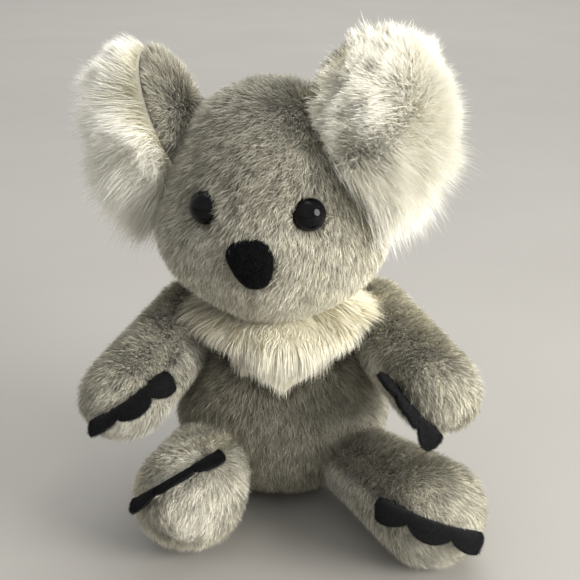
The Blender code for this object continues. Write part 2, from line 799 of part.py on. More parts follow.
def build_bib(materials, cutters):
    columns = angles_between(-BIB_WIDTH_SHARE, BIB_WIDTH_SHARE, BIB_TURNS)
    rows = angles_between(0.0, 1.0, BIB_STEPS)

    def layer(lift):
        return [[bib_point(across, down, lift) for across in columns] for down in rows]

    mesh = shell_from_grids("chest_bib", layer(SEAT_GAP + BIB_PILE), layer(SEAT_GAP), False)
    bib = finish_object("chest_bib", mesh, materials["white_pile"], None)
    cut(bib, *cutters)


def build_head_skin(materials, pivot, cutters):
    def side_limit(turn):
        return side_edge(turn, GUSSET_HALF_ANGLE)

    for side_name, side in SIDES.items():
        name = f"head_side_{side_name}"
        lift = SEAM_GAP / 2
        mesh = side_shell(name, head_point, side_limit, side, HEAD_STEPS, HEAD_TURNS, lift)
        panel = finish_object(name, mesh, materials["grey_plush"], pivot)
        cut(panel, *cutters)
    gap = math.degrees(GUSSET_GAP / (HEAD_WIDTH / 2))
    inset = GUSSET_TAPER_ANGLE * GUSSET_INSET_SHARE

    def layer(depth):
        rows = []
        for turn in angles_between(GUSSET_START_ANGLE + inset, GUSSET_END_ANGLE - inset, HEAD_TURNS // 2):
            edge = QUARTER_TURN_ANGLE - side_edge(turn, GUSSET_HALF_ANGLE) - gap
            polars = angles_between(QUARTER_TURN_ANGLE - edge, QUARTER_TURN_ANGLE + edge, GUSSET_STEPS)
            rows.append([head_point(polar, turn, depth) for polar in polars])
        return rows

    mesh = shell_from_grids("head_gusset", layer(0.0), layer(SKIN), False)
    gusset = finish_object("head_gusset", mesh, materials["grey_plush"], pivot)
    cut(gusset, *cutters)


def eye_direction(side):
    forward = math.sqrt((HEAD_DEPTH / 2) ** 2 - (EYE_SPACING / 2) ** 2)
    return Vector((side * EYE_SPACING / 2, -forward, EYE_RISE))


def fitting_profile(radius, height, shank_length):
    """Dome with a flat back and a shank, from the dome's top down."""
    angles = quarter_steps(DOME_STEPS)
    profile = [(radius * math.sin(angle), height * math.cos(angle)) for angle in angles]
    return profile + [(SHANK_RADIUS, 0.0), (SHANK_RADIUS, -shank_length), (0.0, -shank_length)]


def quarter_steps(steps):
    return [math.pi / 2 * step / steps for step in range(steps + 1)]


def washer_mesh(name):
    inner = SHANK_RADIUS + SEAT_GAP
    half = WASHER_THICKNESS / 2
    corners = [(inner, half), (WASHER_RADIUS, half), (WASHER_RADIUS, -half), (inner, -half)]
    return turned_mesh(name, corners + corners[:1], ROUND_TURNS)


def drum_cutter(name, parent, *steps):
    """A round room of one or more steps, each a radius with its upper and lower end."""
    profile = [(0.0, steps[0][1])]
    for radius, high, low in steps:
        profile += [(radius, high), (radius, low)]
    profile.append((0.0, steps[-1][2]))
    cutter = finish_object(name, turned_mesh(name, profile, ROUND_TURNS), None, parent)
    return as_cutter(cutter)


def seat_fitting(name, pivot, direction, sunk, roll=0.0):
    """Pivot of an eye or nose, sunk into the fur, with the room of its shank and washer."""
    unit = direction.normalized()
    place = unit * (head_radius(unit) - sunk)
    frame = outward_frame(place, unit) @ Matrix.Rotation(math.radians(roll), 4, "Z")
    seat = make_pivot(f"{name}_seat", frame, pivot)
    backing = sunk - SKIN
    washer_end = backing - 2 * SEAT_GAP - WASHER_THICKNESS
    washer_step = (WASHER_RADIUS + SEAT_GAP, backing + SEAT_GAP, washer_end)
    shank_step = (SHANK_RADIUS + SEAT_GAP, washer_end, -SHANK_LENGTH - SEAT_GAP)
    return seat, drum_cutter(f"{name}_washer_room", seat, washer_step, shank_step)


def backing_steps(sunk):
    """Room in the skin under an eye or nose: its shank's hole and the flat that its washer meets."""
    backing = sunk - SKIN
    hole = (SHANK_RADIUS + SEAT_GAP, -SEAT_GAP, backing)
    return [hole, (WASHER_RADIUS + SEAT_GAP, backing, -SHANK_LENGTH)]


def add_washer(name, seat, sunk, materials):
    washer = finish_object(name, washer_mesh(name), materials["washer_plastic"], seat)
    washer.location = (0.0, 0.0, sunk - SKIN - SEAT_GAP - WASHER_THICKNESS / 2)


def nose_outline(share, growth):
    """Rounded upright trapezoid, wider at the top."""
    angle = math.tau * share
    across = math.copysign(abs(math.cos(angle)) ** NOSE_CORNER_SHARE, math.cos(angle))
    upward = math.copysign(abs(math.sin(angle)) ** NOSE_CORNER_SHARE, math.sin(angle))
    width = NOSE_WIDTH / 2 + growth
    width += width * NOSE_TAPER_SHARE * (upward - NOSE_WIDEST_SHARE)
    return across * width, upward * (NOSE_HEIGHT / 2 + growth)


def nose_mesh(name, growth, front, back, steps):
    """Flocked nose, crowned in front and flat behind, with local Y up, over a stepped round shank."""
    rings = []
    for angle in quarter_steps(NOSE_STEPS):
        ring_share = math.sin(angle) ** NOSE_CROWN_SHARE
        rings.append(nose_ring(ring_share, front * math.cos(angle), growth))
    rings.append(nose_ring(1.0, back, growth))
    for radius, high, low in steps:
        rings += [circle_ring(radius, height, NOSE_TURNS) for height in (high, low)]
    rings.append(circle_ring(0.0, steps[-1][2], NOSE_TURNS))
    return solid_from_rings(name, rings)


def nose_ring(ring_share, height, growth):
    ring = []
    for index in range(NOSE_TURNS):
        across, upward = nose_outline(index / NOSE_TURNS, growth)
        ring.append(Vector((across * ring_share, upward * ring_share, height)))
    return ring


def build_face(materials, pivot):
    """Eyes and nose; returns what they cut from the skin and what they cut from the stuffing."""
    skin_cutters = []
    filling_cutters = []
    for side_name, side in SIDES.items():
        name = f"eye_{side_name}"
        seat, washer_room = seat_fitting(name, pivot, eye_direction(side), EYE_SUNK)
        profile = fitting_profile(EYE_RADIUS, EYE_HEIGHT, SHANK_LENGTH)
        mesh = turned_mesh(name, profile, ROUND_TURNS)
        finish_object(name, mesh, materials["eye_gloss"], seat)
        dome_step = (EYE_RADIUS + SEAT_GAP, EYE_SUNK + OVERRUN, -SEAT_GAP)
        room = drum_cutter(f"{name}_room", seat, dome_step, *backing_steps(EYE_SUNK))
        skin_cutters.append(room)
        add_washer(f"{name}_washer", seat, EYE_SUNK, materials)
        filling_cutters.append(washer_room)
    nose_way = Vector((0.0, -HEAD_DEPTH / 2, -NOSE_DROP))
    seat, washer_room = seat_fitting("nose", pivot, nose_way, NOSE_SUNK, NOSE_ROLL_ANGLE)
    shank = [(SHANK_RADIUS, 0.0, -SHANK_LENGTH)]
    nose = nose_mesh("nose", 0.0, NOSE_THICKNESS - NOSE_SUNK, 0.0, shank)
    finish_object("nose", nose, materials["black_flock"], seat)
    behind = backing_steps(NOSE_SUNK)
    room = nose_mesh("nose_room", SEAT_GAP, NOSE_SUNK + OVERRUN, -SEAT_GAP, behind)
    skin_cutters.append(as_cutter(finish_object("nose_room", room, None, seat)))
    add_washer("nose_washer", seat, NOSE_SUNK, materials)
    filling_cutters.append(washer_room)
    return skin_cutters, filling_cutters


def ear_frame(side):
    """Local Y faces outwards on the pile side, local Z runs up the ear, local X fore and aft."""
    lean = math.radians(LEFT_EAR_LEAN_ANGLE if side > 0.0 else RIGHT_EAR_LEAN_ANGLE)
    twist = math.radians(LEFT_EAR_TURN_ANGLE if side > 0.0 else RIGHT_EAR_TURN_ANGLE)
    outward = Vector((side * math.cos(lean), 0.0, -math.sin(lean)))
    upward = Vector((side * math.sin(lean), 0.0, math.cos(lean)))
    along = outward.cross(upward)
    turn = Matrix((along, outward, upward)).transposed()
    apart = LEFT_EAR_SIDE if side > 0.0 else RIGHT_EAR_SIDE
    height = LEFT_EAR_RISE if side > 0.0 else RIGHT_EAR_RISE
    place = Matrix.Translation((side * apart, EAR_SETBACK, height))
    return place @ turn.to_4x4() @ Matrix.Rotation(-side * twist, 4, "Z")


def ear_cup(across, upward):
    """How far the ear's surface curls outwards here; the pile flares on past the ear's edge."""
    away = math.hypot(2 * across / EAR_WIDTH, 2 * upward / EAR_HEIGHT)
    return EAR_CUP * min(away, away**2)


def lens_mesh(name, width, height, front, back, drop):
    """Rounded lobe between a dome of depth front and a dome of depth back, cupped outwards."""
    rings = []
    for step in range(EAR_STEPS + 1):
        angle = math.pi * step / EAR_STEPS
        ring_share = math.sin(angle) ** EAR_ROUND_SHARE if 0 < step < EAR_STEPS else 0.0
        rise = front * math.cos(angle) if angle < math.pi / 2 else back * math.cos(angle)
        ring = []
        for index in range(EAR_TURNS):
            turn = math.tau * index / EAR_TURNS
            across = width / 2 * ring_share * math.cos(turn)
            upward = height / 2 * ring_share * math.sin(turn) - drop * ring_share
            ring.append(Vector((across, rise + ear_cup(across, upward), upward)))
        rings.append(ring)
    return solid_from_rings(name, rings)


def head_room(name, pivot, fold, side):
    """The head's outline, turned about an ear's hinge to one end of the ear's travel."""
    hinge = Vector((side * EAR_HINGE_SIDE, 0.0, EAR_HINGE_RISE))
    turn = Matrix.Rotation(math.radians(side * fold), 4, "Y")
    place = Matrix.Translation(hinge) @ turn @ Matrix.Translation(-hinge)
    mesh = ball_mesh(
        name, HEAD_HEIGHT / 2 + SWING_GAP, (HEAD_WIDTH / HEAD_HEIGHT, HEAD_DEPTH / HEAD_HEIGHT, 1.0)
    )
    cutter = finish_object(name, mesh, None, pivot)
    cutter.matrix_local = place
    return as_cutter(cutter)


def build_ear(side_name, materials, head_pivot):
    side = SIDES[side_name]
    hinge = Matrix.Translation((side * EAR_HINGE_SIDE, 0.0, EAR_HINGE_RISE))
    pivot = make_pivot(f"ear_{side_name}_pivot", hinge, head_pivot)
    frame = hinge.inverted() @ ear_frame(side)
    back_name = f"ear_{side_name}_back"
    back = lens_mesh(back_name, EAR_WIDTH, EAR_HEIGHT, 0.0, EAR_SKIN, 0.0)
    back = finish_object(back_name, back, materials["grey_plush"], pivot)
    back.matrix_local = frame
    pile_name = f"ear_{side_name}_pile"
    pile = lens_mesh(pile_name, FLUFF_WIDTH, FLUFF_HEIGHT, FLUFF_DEPTH, 0.0, FLUFF_DROP)
    pile = finish_object(pile_name, pile, materials["white_pile"], pivot)
    pile.matrix_local = frame @ Matrix.Translation((0.0, PILE_GAP, 0.0))
    folds = {"rest": 0.0, "in": EAR_FOLD_IN_ANGLE, "out": -EAR_FOLD_OUT_ANGLE}
    rooms = [
        head_room(f"ear_{side_name}_room_{label}", head_pivot, fold, side)
        for label, fold in folds.items()
    ]
    cut(back, *rooms)
    cut(pile, *rooms)


def head_frame():
    place = Matrix.Translation((-HEAD_SIDE_SHIFT, -HEAD_FORWARD, HEAD_CENTRE_HEIGHT))
    yaw = Matrix.Rotation(math.radians(HEAD_YAW_ANGLE), 4, "Z")
    return place @ yaw @ Matrix.Rotation(math.radians(HEAD_TILT_ANGLE), 4, "Y")


def build_head(materials, neck_room):
    pivot = make_pivot("head_pivot", head_frame())
    skin_cutters, filling_cutters = build_face(materials, pivot)
    build_head_skin(materials, pivot, [neck_room] + skin_cutters)
    depth = SKIN + FILLING_GAP
    filling = stuffed_solid("head_stuffing", head_point, depth, HEAD_STEPS + 2, HEAD_TURNS // 2)
    filling = finish_object("head_stuffing", filling, materials["stuffing"], pivot)
    cut(filling, neck_room, *filling_cutters)
    for side_name in SIDES:
        build_ear(side_name, materials, pivot)
    return pivot


def main():
    clear_scene()
    materials = make_materials()
    rooms = [build_limb(kind, side, materials) for kind in ("arm", "leg") for side in SIDES]
    neck_room = ball_cutter("neck_room", NECK_RADIUS + JOINT_GAP, None, neck_place())
    build_torso(materials, rooms, neck_room)
    head_pivot = build_head(materials, neck_room)
    chin_room = ball_cutter(
        "chin_room",
        HEAD_HEIGHT / 2 + JOINT_GAP,
        head_pivot,
        scale=(HEAD_WIDTH / HEAD_HEIGHT, HEAD_DEPTH / HEAD_HEIGHT, 1.0),
    )
    build_bib(materials, [*rooms, neck_room, chin_room])


main()
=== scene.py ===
import math

import bpy
import numpy as np
from mathutils import Matrix, Vector


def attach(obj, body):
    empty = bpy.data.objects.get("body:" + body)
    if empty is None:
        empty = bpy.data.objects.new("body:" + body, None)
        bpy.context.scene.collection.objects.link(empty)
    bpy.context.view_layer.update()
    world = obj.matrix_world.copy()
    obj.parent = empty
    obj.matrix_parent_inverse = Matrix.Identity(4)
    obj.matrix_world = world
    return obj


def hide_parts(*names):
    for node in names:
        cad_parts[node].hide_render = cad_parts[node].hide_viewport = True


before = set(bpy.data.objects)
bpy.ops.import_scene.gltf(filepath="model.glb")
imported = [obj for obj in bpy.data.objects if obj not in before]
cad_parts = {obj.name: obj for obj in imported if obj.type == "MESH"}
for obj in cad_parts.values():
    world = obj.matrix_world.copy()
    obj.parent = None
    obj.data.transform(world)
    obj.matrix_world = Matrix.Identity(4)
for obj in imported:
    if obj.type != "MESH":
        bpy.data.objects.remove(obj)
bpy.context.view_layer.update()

# Sizes of the toy, in metres and degrees, the same as in the CAD part
SKIN = 0.0062
TORSO_WIDTH, TORSO_DEPTH, BELLY_HEIGHT, SHOULDER_HEIGHT = 0.076, 0.070, 0.038, 0.077
TORSO_LEAN, LOWER_FULLNESS, UPPER_FULLNESS, SEAT_CUT = 0.008, 3.0, 2.8, 0.0005
HEAD_WIDTH, HEAD_DEPTH, HEAD_HEIGHT = 0.086, 0.088, 0.097
HEAD_PLACE, HEAD_YAW, HEAD_TILT = (-0.003, -0.011, 0.1235), -9.0, 1.5
MUZZLE_REACH, MUZZLE_DROP, MUZZLE_SPREAD = 0.005, 0.010, 30.0
GUSSET_HALF_WIDTH, GUSSET_START, GUSSET_END, GUSSET_TAPER = 14.0, -4.0, 214.0, 40.0
EYE_RADIUS, EYE_HEIGHT, EYE_SPACING, EYE_RISE, EYE_SUNK = 0.006, 0.0052, 0.040, 0.0065, 0.0045
NOSE_WIDTH, NOSE_HEIGHT, NOSE_THICKNESS, NOSE_SUNK = 0.016, 0.019, 0.0065, 0.0035
NOSE_DROP, NOSE_TAPER, NOSE_ROLL = 0.011, 0.25, 12.0
EAR_HEIGHT, EAR_WIDTH, EAR_CUP, EAR_SETBACK = 0.050, 0.046, 0.008, 0.002
# how far apart each ear sits, how high, how far it leans out and how far it turns
EARS = {"left": (0.029, 0.038, 8.0, 48.0), "right": (0.034, 0.033, 22.0, 0.0)}
SIDES = {"left": 1.0, "right": -1.0}
BODY_START, BODY_END = 80.0, 100.0
ARM_REACH = 0.0592
ARM = {"root": 0.0174, "tip": 0.0185, "reach": ARM_REACH, "wide": 1.04, "thick": 0.94}
LEG = {"root": 0.017, "tip": 0.0225, "reach": 0.041, "wide": 1.04, "thick": 0.98}
# place, splay, drop, roll, rise of the seam, turn of the claws
LIMBS = {
    "arm_right": (ARM, (0.037, 0.005, 0.0698), 19.5, 8.1, -32.0, 0.001, 38.0),
    "arm_left": (ARM, (0.037, 0.005, 0.0698), 18.2, 5.5, -43.5, -0.008, -37.7),
    "leg_right": (LEG, (0.028, -0.013, 0.0195), 8.5, -4.0, -34.0, 0.0085, 17.0),
    "leg_left": (LEG, (0.032, -0.027, 0.0195), 31.5, -1.0, -24.0, 0.001, -37.5),
}
FELT, CLAW_COUNT, CLAW_LENGTH, CLAW_WEB, CLAW_SEAM_DEPTH = 0.0012, 3, 0.0090, 0.0045, 0.0045
CLAW_SWEEP, CLAW_BEND_RADIUS, CLAW_BEND_START, CLAW_SHORTEST = 104.0, 0.0035, 0.0006, 0.0012
# how far the felt droops at the near, middle and far claw
DROOPS = {
    "arm_right": (15.0, 40.0, 70.0),
    "arm_left": (0.0, 5.0, 60.0),
    "leg_right": (25.0, 10.0, 30.0),
    "leg_left": (65.0, 70.0, 60.0),
}

# Fur: where it is fuller, longer or cut to another edge than the plain soft solids of the CAD
CHEEK_FLUFF, SIDE_FLUFF = 0.0048, 0.0065
BIB_TOP, BIB_TIP, BIB_SWEEP, BIB_POINT, BIB_RISE = 0.0755, 0.0545, 100.0, 0.52, 0.0175
BIB_SHAVED_SWEEP, BIB_MARGIN, BIB_ROOT_DEPTH, BIB_BACKING_DEPTH = 96.0, 0.006, 0.003, 0.0035
BIB_DENSITY, BIB_TUFT, BIB_STRAND_WIDTH = 5.5e6, 0.0028, 0.00030
COLLAR_SWEEP, COLLAR_COUNT, COLLAR_TUFT = 98.0, 14000, 0.0024
COLLAR_RING, COLLAR_INWARD = 0.030, 0.014
FLUFF_HEIGHT, FLUFF_WIDTH, FLUFF_DEPTH, FLUFF_DROP = 0.080, 0.060, 0.042, 0.006
FLUFF_COUNT, FLUFF_POINTS, FLUFF_TUFT, FLUFF_STRAND_WIDTH = 48000, 7, 0.0026, 0.00022
FLUFF_SHORTEST, FLUFF_LONGEST, FLUFF_SEARCH = 0.010, 0.045, 0.12
MOUND = 0.020
# the line over the cheek that the long pile stays above: its height, slope and outer end
CHEEK_LINE, CHEEK_SLOPE, CHEEK_END = 0.060, 1.35, 0.040
# the way of the strands that spill back over the rim, and how deep they may hang behind it
SPILL, SPILL_DEPTH = (-0.75, -0.70, 0.15), 0.012
# how the ear's long pile is combed: the parting's place on the panel, the way its strands
# point, how fast they turn away on each side of it and above or below it, how wide the
# parting opens, how far they sweep upward, and how much spills back over the rim
COMB = {
    "left": {
        "parting": (-0.28, -0.10), "aim": (0.79, 0.60), "flare_side": (1.0, 1.9),
        "flare_up": 1.6, "opening": 0.80, "sweep": 0.3, "spill": 0.0,
    },
    "right": {
        "parting": (0.0, 0.0), "aim": (0.0, 0.32), "flare_side": (0.35, 0.35),
        "flare_up": 1.05, "opening": 0.0, "sweep": 0.0, "spill": 0.6,
    },
}
# tone of the fur at a limb's root and its change towards the paw: 0 is dark, 0.5 plain, 1 light;
# painted light and shade: each limb is set lighter or darker by how the lamp's light falls on it
LIMB_TONE_AND_SHADE = {
    "arm_right": (0.52, 0.04),
    "arm_left": (1.0, -0.30),
    "leg_right": (1.0, -0.15),
    "leg_left": (0.66, 0.08),
}
PILE, ROOT_DEPTH, EAR_ROOT_DEPTH = 0.0078, 0.0056, 0.0045
STRAND_WIDTH, COAT_DENSITY, COAT_STEPS = 0.00021, 6.5e6, 3
TUFT, TUFT_PULL = 0.0015, 0.42
COAT_LEAN, COAT_LEAN_RANGE = 28.0, 32.0
SWIRL_SIZE, SWIRL_TURN, SWIRL_SPREAD = 0.03, 40.0, 42.0
FLOCK_DENSITY, FLOCK_LENGTH, FLOCK_WIDTH = 30e6, 0.0007, 0.00012
FUZZ_COUNT, FUZZ_LENGTH, FUZZ_WIDTH = 12000, 0.0009, 0.00010
FLOOR_LIFT, FLOOR_CLEAR = 0.0004, 0.0006
NOSE_SQUARENESS, NOSE_WAIST, NOSE_SKIRT, EYE_SKIRT = 0.75, 0.3, 0.002, 0.0015
# cells of the strands' texture map along each side, and the most triangles in one piece
CELLS, MOST_TRIANGLES = 192, 190000
THIN = 1.0
rng = np.random.default_rng(11)

# The camera that the photograph was measured with, and the lamps: name, place, what it faces,
# size, power and colour
IMAGE_WIDTH, FOCAL_PIXELS, SENSOR_WIDTH = 580, 1125, 36.0
CAMERA_PLACE, CAMERA_TILT = (0.003, -0.4229, 0.2372), 70.0
FLOOR_SIZE = 3.0
LAMPS = (
    ("key", (0.72, -0.46, 0.36), (0.0, 0.0, 0.10), 0.55, 11.5, (1.0, 0.985, 0.95)),
    ("top", (0.10, 0.15, 0.80), (0.0, 0.0, 0.10), 0.7, 2.0, (1.0, 1.0, 1.0)),
    ("far", (0.2, 1.7, 1.6), (0.0, 1.6, 0.0), 2.0, 26.0, (1.0, 1.0, 1.0)),
)


def unit(vectors):
    return vectors / np.maximum(np.linalg.norm(vectors, axis=-1, keepdims=True), 1e-12)


def smooth(value):
    value = np.clip(value, 0.0, 1.0)
    return value * value * (3.0 - 2.0 * value)


def placed(matrix, points):
    matrix = np.array(matrix)
    return points @ matrix[:3, :3].T + matrix[:3, 3]


def local(matrix, points):
    matrix = np.array(matrix)
    return (points - matrix[:3, 3]) @ matrix[:3, :3]


def rotation(degrees, axis):
    return Matrix.Rotation(math.radians(degrees), 4, axis)


# Forms: each gives points for u and v from 0 to 1 at a depth under the fur's outline

HEAD = Matrix.Translation(HEAD_PLACE) @ rotation(HEAD_YAW, "Z") @ rotation(HEAD_TILT, "Y")
MUZZLE = unit(np.array([0.0, -HEAD_DEPTH / 2, -MUZZLE_DROP]))


def round_directions(u, v):
    polar, turn = np.pi * u, 2 * np.pi * v
    ring = np.sin(polar)
    return np.stack([np.cos(polar), -ring * np.cos(turn), ring * np.sin(turn)], axis=-1)


def head_radius(way):
    half = np.array([HEAD_WIDTH, HEAD_DEPTH, HEAD_HEIGHT]) / 2
    away = np.degrees(np.arccos(np.clip(way @ MUZZLE, -1.0, 1.0)))
    muzzle = MUZZLE_REACH * np.exp(-((away / MUZZLE_SPREAD) ** 2))
    return 1.0 / np.linalg.norm(way / half, axis=-1) + muzzle


def cheek_fluff(way):
    """How far the cheeks' fur stands out past the skin's own outline."""
    side = smooth((np.abs(way[:, 0]) - 0.25) / 0.55)
    return CHEEK_FLUFF * side * np.exp(-(((way[:, 2] + 0.40) / 0.42) ** 2))


def head_form(u, v, depth):
    way = round_directions(u, v)
    return placed(HEAD, way * (head_radius(way) + cheek_fluff(way) - depth)[:, None])


def side_fluff(way):
    """How far the belly's fur stands out past the skin's own outline, between arm and leg."""
    side = smooth((np.abs(way[:, 0]) - 0.55) / 0.40)
    return SIDE_FLUFF * side * np.exp(-(((way[:, 2] + 0.10) / 0.45) ** 2))


def torso_form(u, v, depth):
    way = round_directions(u, v)
    across = np.hypot(2 * way[:, 0] / TORSO_WIDTH, 2 * way[:, 1] / TORSO_DEPTH)
    up = way[:, 2] > 0.0
    height = np.where(up, SHOULDER_HEIGHT - BELLY_HEIGHT, BELLY_HEIGHT + SEAT_CUT)
    full = np.where(up, UPPER_FULLNESS, LOWER_FULLNESS)
    tall = np.abs(way[:, 2]) / height
    radius = (across**full + tall**full) ** (-1.0 / full)
    points = way * (radius + side_fluff(way) - depth)[:, None]
    points[:, 2] = np.maximum(points[:, 2] + BELLY_HEIGHT, depth)
    points[:, 1] -= TORSO_LEAN * points[:, 2] / SHOULDER_HEIGHT
    return points


def turn_from_front(points):
    """Degrees off the middle of the chest, about the torso's leaning axis."""
    shift = TORSO_LEAN * points[:, 2] / SHOULDER_HEIGHT
    return np.degrees(np.arctan2(points[:, 0], -(points[:, 1] + shift)))


def limb_matrix(name):
    side = SIDES[name.split("_")[1]]
    place, splay, drop, roll = LIMBS[name][1:5]
    spot = Matrix.Translation((side * place[0], place[1], place[2]))
    aim = rotation(side * splay, "Z") @ rotation(drop, "X")
    return spot @ aim @ rotation(90.0, "X") @ rotation(side * roll, "Z")


def seam_matrix(name):
    sizes, rise = LIMBS[name][0], LIMBS[name][5]
    tilt = math.degrees(math.asin(rise / sizes["reach"]))
    return limb_matrix(name) @ rotation(-tilt, "X")


def limb_form(name):
    sizes, matrix = LIMBS[name][0], limb_matrix(name)

    def form(u, v, depth):
        station, turn = 180.0 * u, 2 * np.pi * v
        share = smooth((station - BODY_START) / (BODY_END - BODY_START))
        radius = sizes["root"] + (sizes["tip"] - sizes["root"]) * share - depth
        ring = radius * np.sin(np.radians(station))
        along = sizes["reach"] * share - radius * np.cos(np.radians(station))
        across = ring * np.cos(turn) * (1.0 + (sizes["wide"] - 1.0) * share)
        upward = ring * np.sin(turn) * (1.0 + (sizes["thick"] - 1.0) * share)
        points = placed(matrix, np.stack([across, upward, along], axis=-1))
        if name.startswith("leg"):
            points[:, 2] = np.maximum(points[:, 2], depth)
        return points

    return form


def ear_matrix(side_name):
    side = SIDES[side_name]
    apart, rise, lean, twist = EARS[side_name]
    lean = math.radians(lean)
    outward = Vector((side * math.cos(lean), 0.0, -math.sin(lean)))
    upward = Vector((side * math.sin(lean), 0.0, math.cos(lean)))
    turn = Matrix((outward.cross(upward), outward, upward)).transposed().to_4x4()
    place = Matrix.Translation((side * apart, EAR_SETBACK, rise))
    return HEAD @ place @ turn @ rotation(-side * twist, "Z")


def ear_cup(across, upward):
    away = np.hypot(2 * across / EAR_WIDTH, 2 * upward / EAR_HEIGHT)
    return EAR_CUP * np.minimum(away, away**2)


def ear_form(side_name):
    """The back of the ear: u from the middle of its grey back out to the rim."""
    matrix = ear_matrix(side_name)

    def form(u, v, depth):
        angle, turn = np.pi / 2 * (2.0 - u), 2 * np.pi * v
        ring = np.sin(angle) ** 0.8
        across = (EAR_WIDTH / 2 - depth / 2) * ring * np.cos(turn)
        upward = (EAR_HEIGHT / 2 - depth / 2) * ring * np.sin(turn)
        rise = (SKIN - depth) * np.cos(angle) + ear_cup(across, upward)
        return placed(matrix, np.stack([across, rise, upward], axis=-1))

    return form


# Scattering and growing the strands


def scatter(form, density, u_range=(0.0, 1.0), steps=150):
    """Random places on a form, evenly over its area."""
    edge_u, edge_v = np.linspace(*u_range, steps + 1), np.linspace(0.0, 1.0, steps + 1)
    u, v = (grid.ravel() for grid in np.meshgrid(edge_u, edge_v, indexing="ij"))
    points = form(u, v, 0.0).reshape(steps + 1, steps + 1, 3)
    sides = points[1:, :-1] - points[:-1, :-1], points[:-1, 1:] - points[:-1, :-1]
    area = np.linalg.norm(np.cross(*sides), axis=-1).ravel()
    count = int(area.sum() * density * THIN)
    pick = rng.choice(area.size, count, p=area / area.sum())
    row, column = np.divmod(pick, steps)
    u = edge_u[0] + (edge_u[-1] - edge_u[0]) * (row + rng.random(count)) / steps
    return u, (column + rng.random(count)) / steps


def surface(form, u, v, depth):
    """Points at the depth and the outward normals there."""
    nudge = 0.002
    du = form(np.minimum(u + nudge, 1.0), v, depth) - form(np.maximum(u - nudge, 0.0), v, depth)
    dv = form(u, v + nudge, depth) - form(u, v - nudge, depth)
    points = form(u, v, depth)
    normal = unit(np.cross(du, dv))
    out = form(u, v, 0.0) - points if depth > 0.0 else points - form(u, v, 0.002)
    return points, normal * np.where(np.sum(normal * out, axis=1) < 0.0, -1.0, 1.0)[:, None]


def along_surface(vectors, normal):
    return unit(vectors - normal * np.sum(vectors * normal, axis=1, keepdims=True))


def ripple(points, size, seed):
    """A smooth random value from -1 to 1 over space."""
    made = np.random.default_rng(seed)
    total = np.zeros(len(points))
    for _ in range(6):
        wave = unit(made.normal(size=3)) * 2 * np.pi / (size * (0.6 + 0.9 * made.random()))
        total += np.sin(points @ wave + made.random() * 2 * np.pi)
    return total / 6


def swirled(flow, normal, points, size, seed, amount, spread):
    """The flow turned about the normal by a smooth swirl and a random spread, in degrees."""
    angle = np.radians(amount * ripple(points, size, seed) + spread * rng.normal(size=len(points)))
    other = np.cross(normal, flow)
    return flow * np.cos(angle)[:, None] + other * np.sin(angle)[:, None]


def strand_lines(root, normal, flow, length, lean, tip_lean, steps):
    """Middle lines of curved strands, which lean from the normal over to the flow."""
    lines = [root]
    for step in range(steps):
        angle = lean + (tip_lean - lean) * (step + 0.5) / steps
        way = normal * np.cos(angle)[:, None] + flow * np.sin(angle)[:, None]
        lines.append(lines[-1] + way * (length / steps)[:, None])
    return np.stack(lines, axis=1)


def clump(lines, size, amount, fuzz=0.35):
    """Draws the tips of near strands together into tufts."""
    keys = np.floor((lines[:, 0] + rng.normal(scale=fuzz * size, size=(len(lines), 3))) / size)
    _, ids = np.unique(keys.astype(np.int64), axis=0, return_inverse=True)
    ids = ids.ravel()
    counts = np.bincount(ids)[:, None]
    steps = lines.shape[1]
    for step in range(1, steps):
        point = lines[:, step]
        means = np.stack([np.bincount(ids, weights=point[:, axis]) for axis in range(3)], axis=1)
        pull = amount * (step / (steps - 1)) ** 1.4
        lines[:, step] = point + pull * ((means / counts)[ids] - point)
    return lines


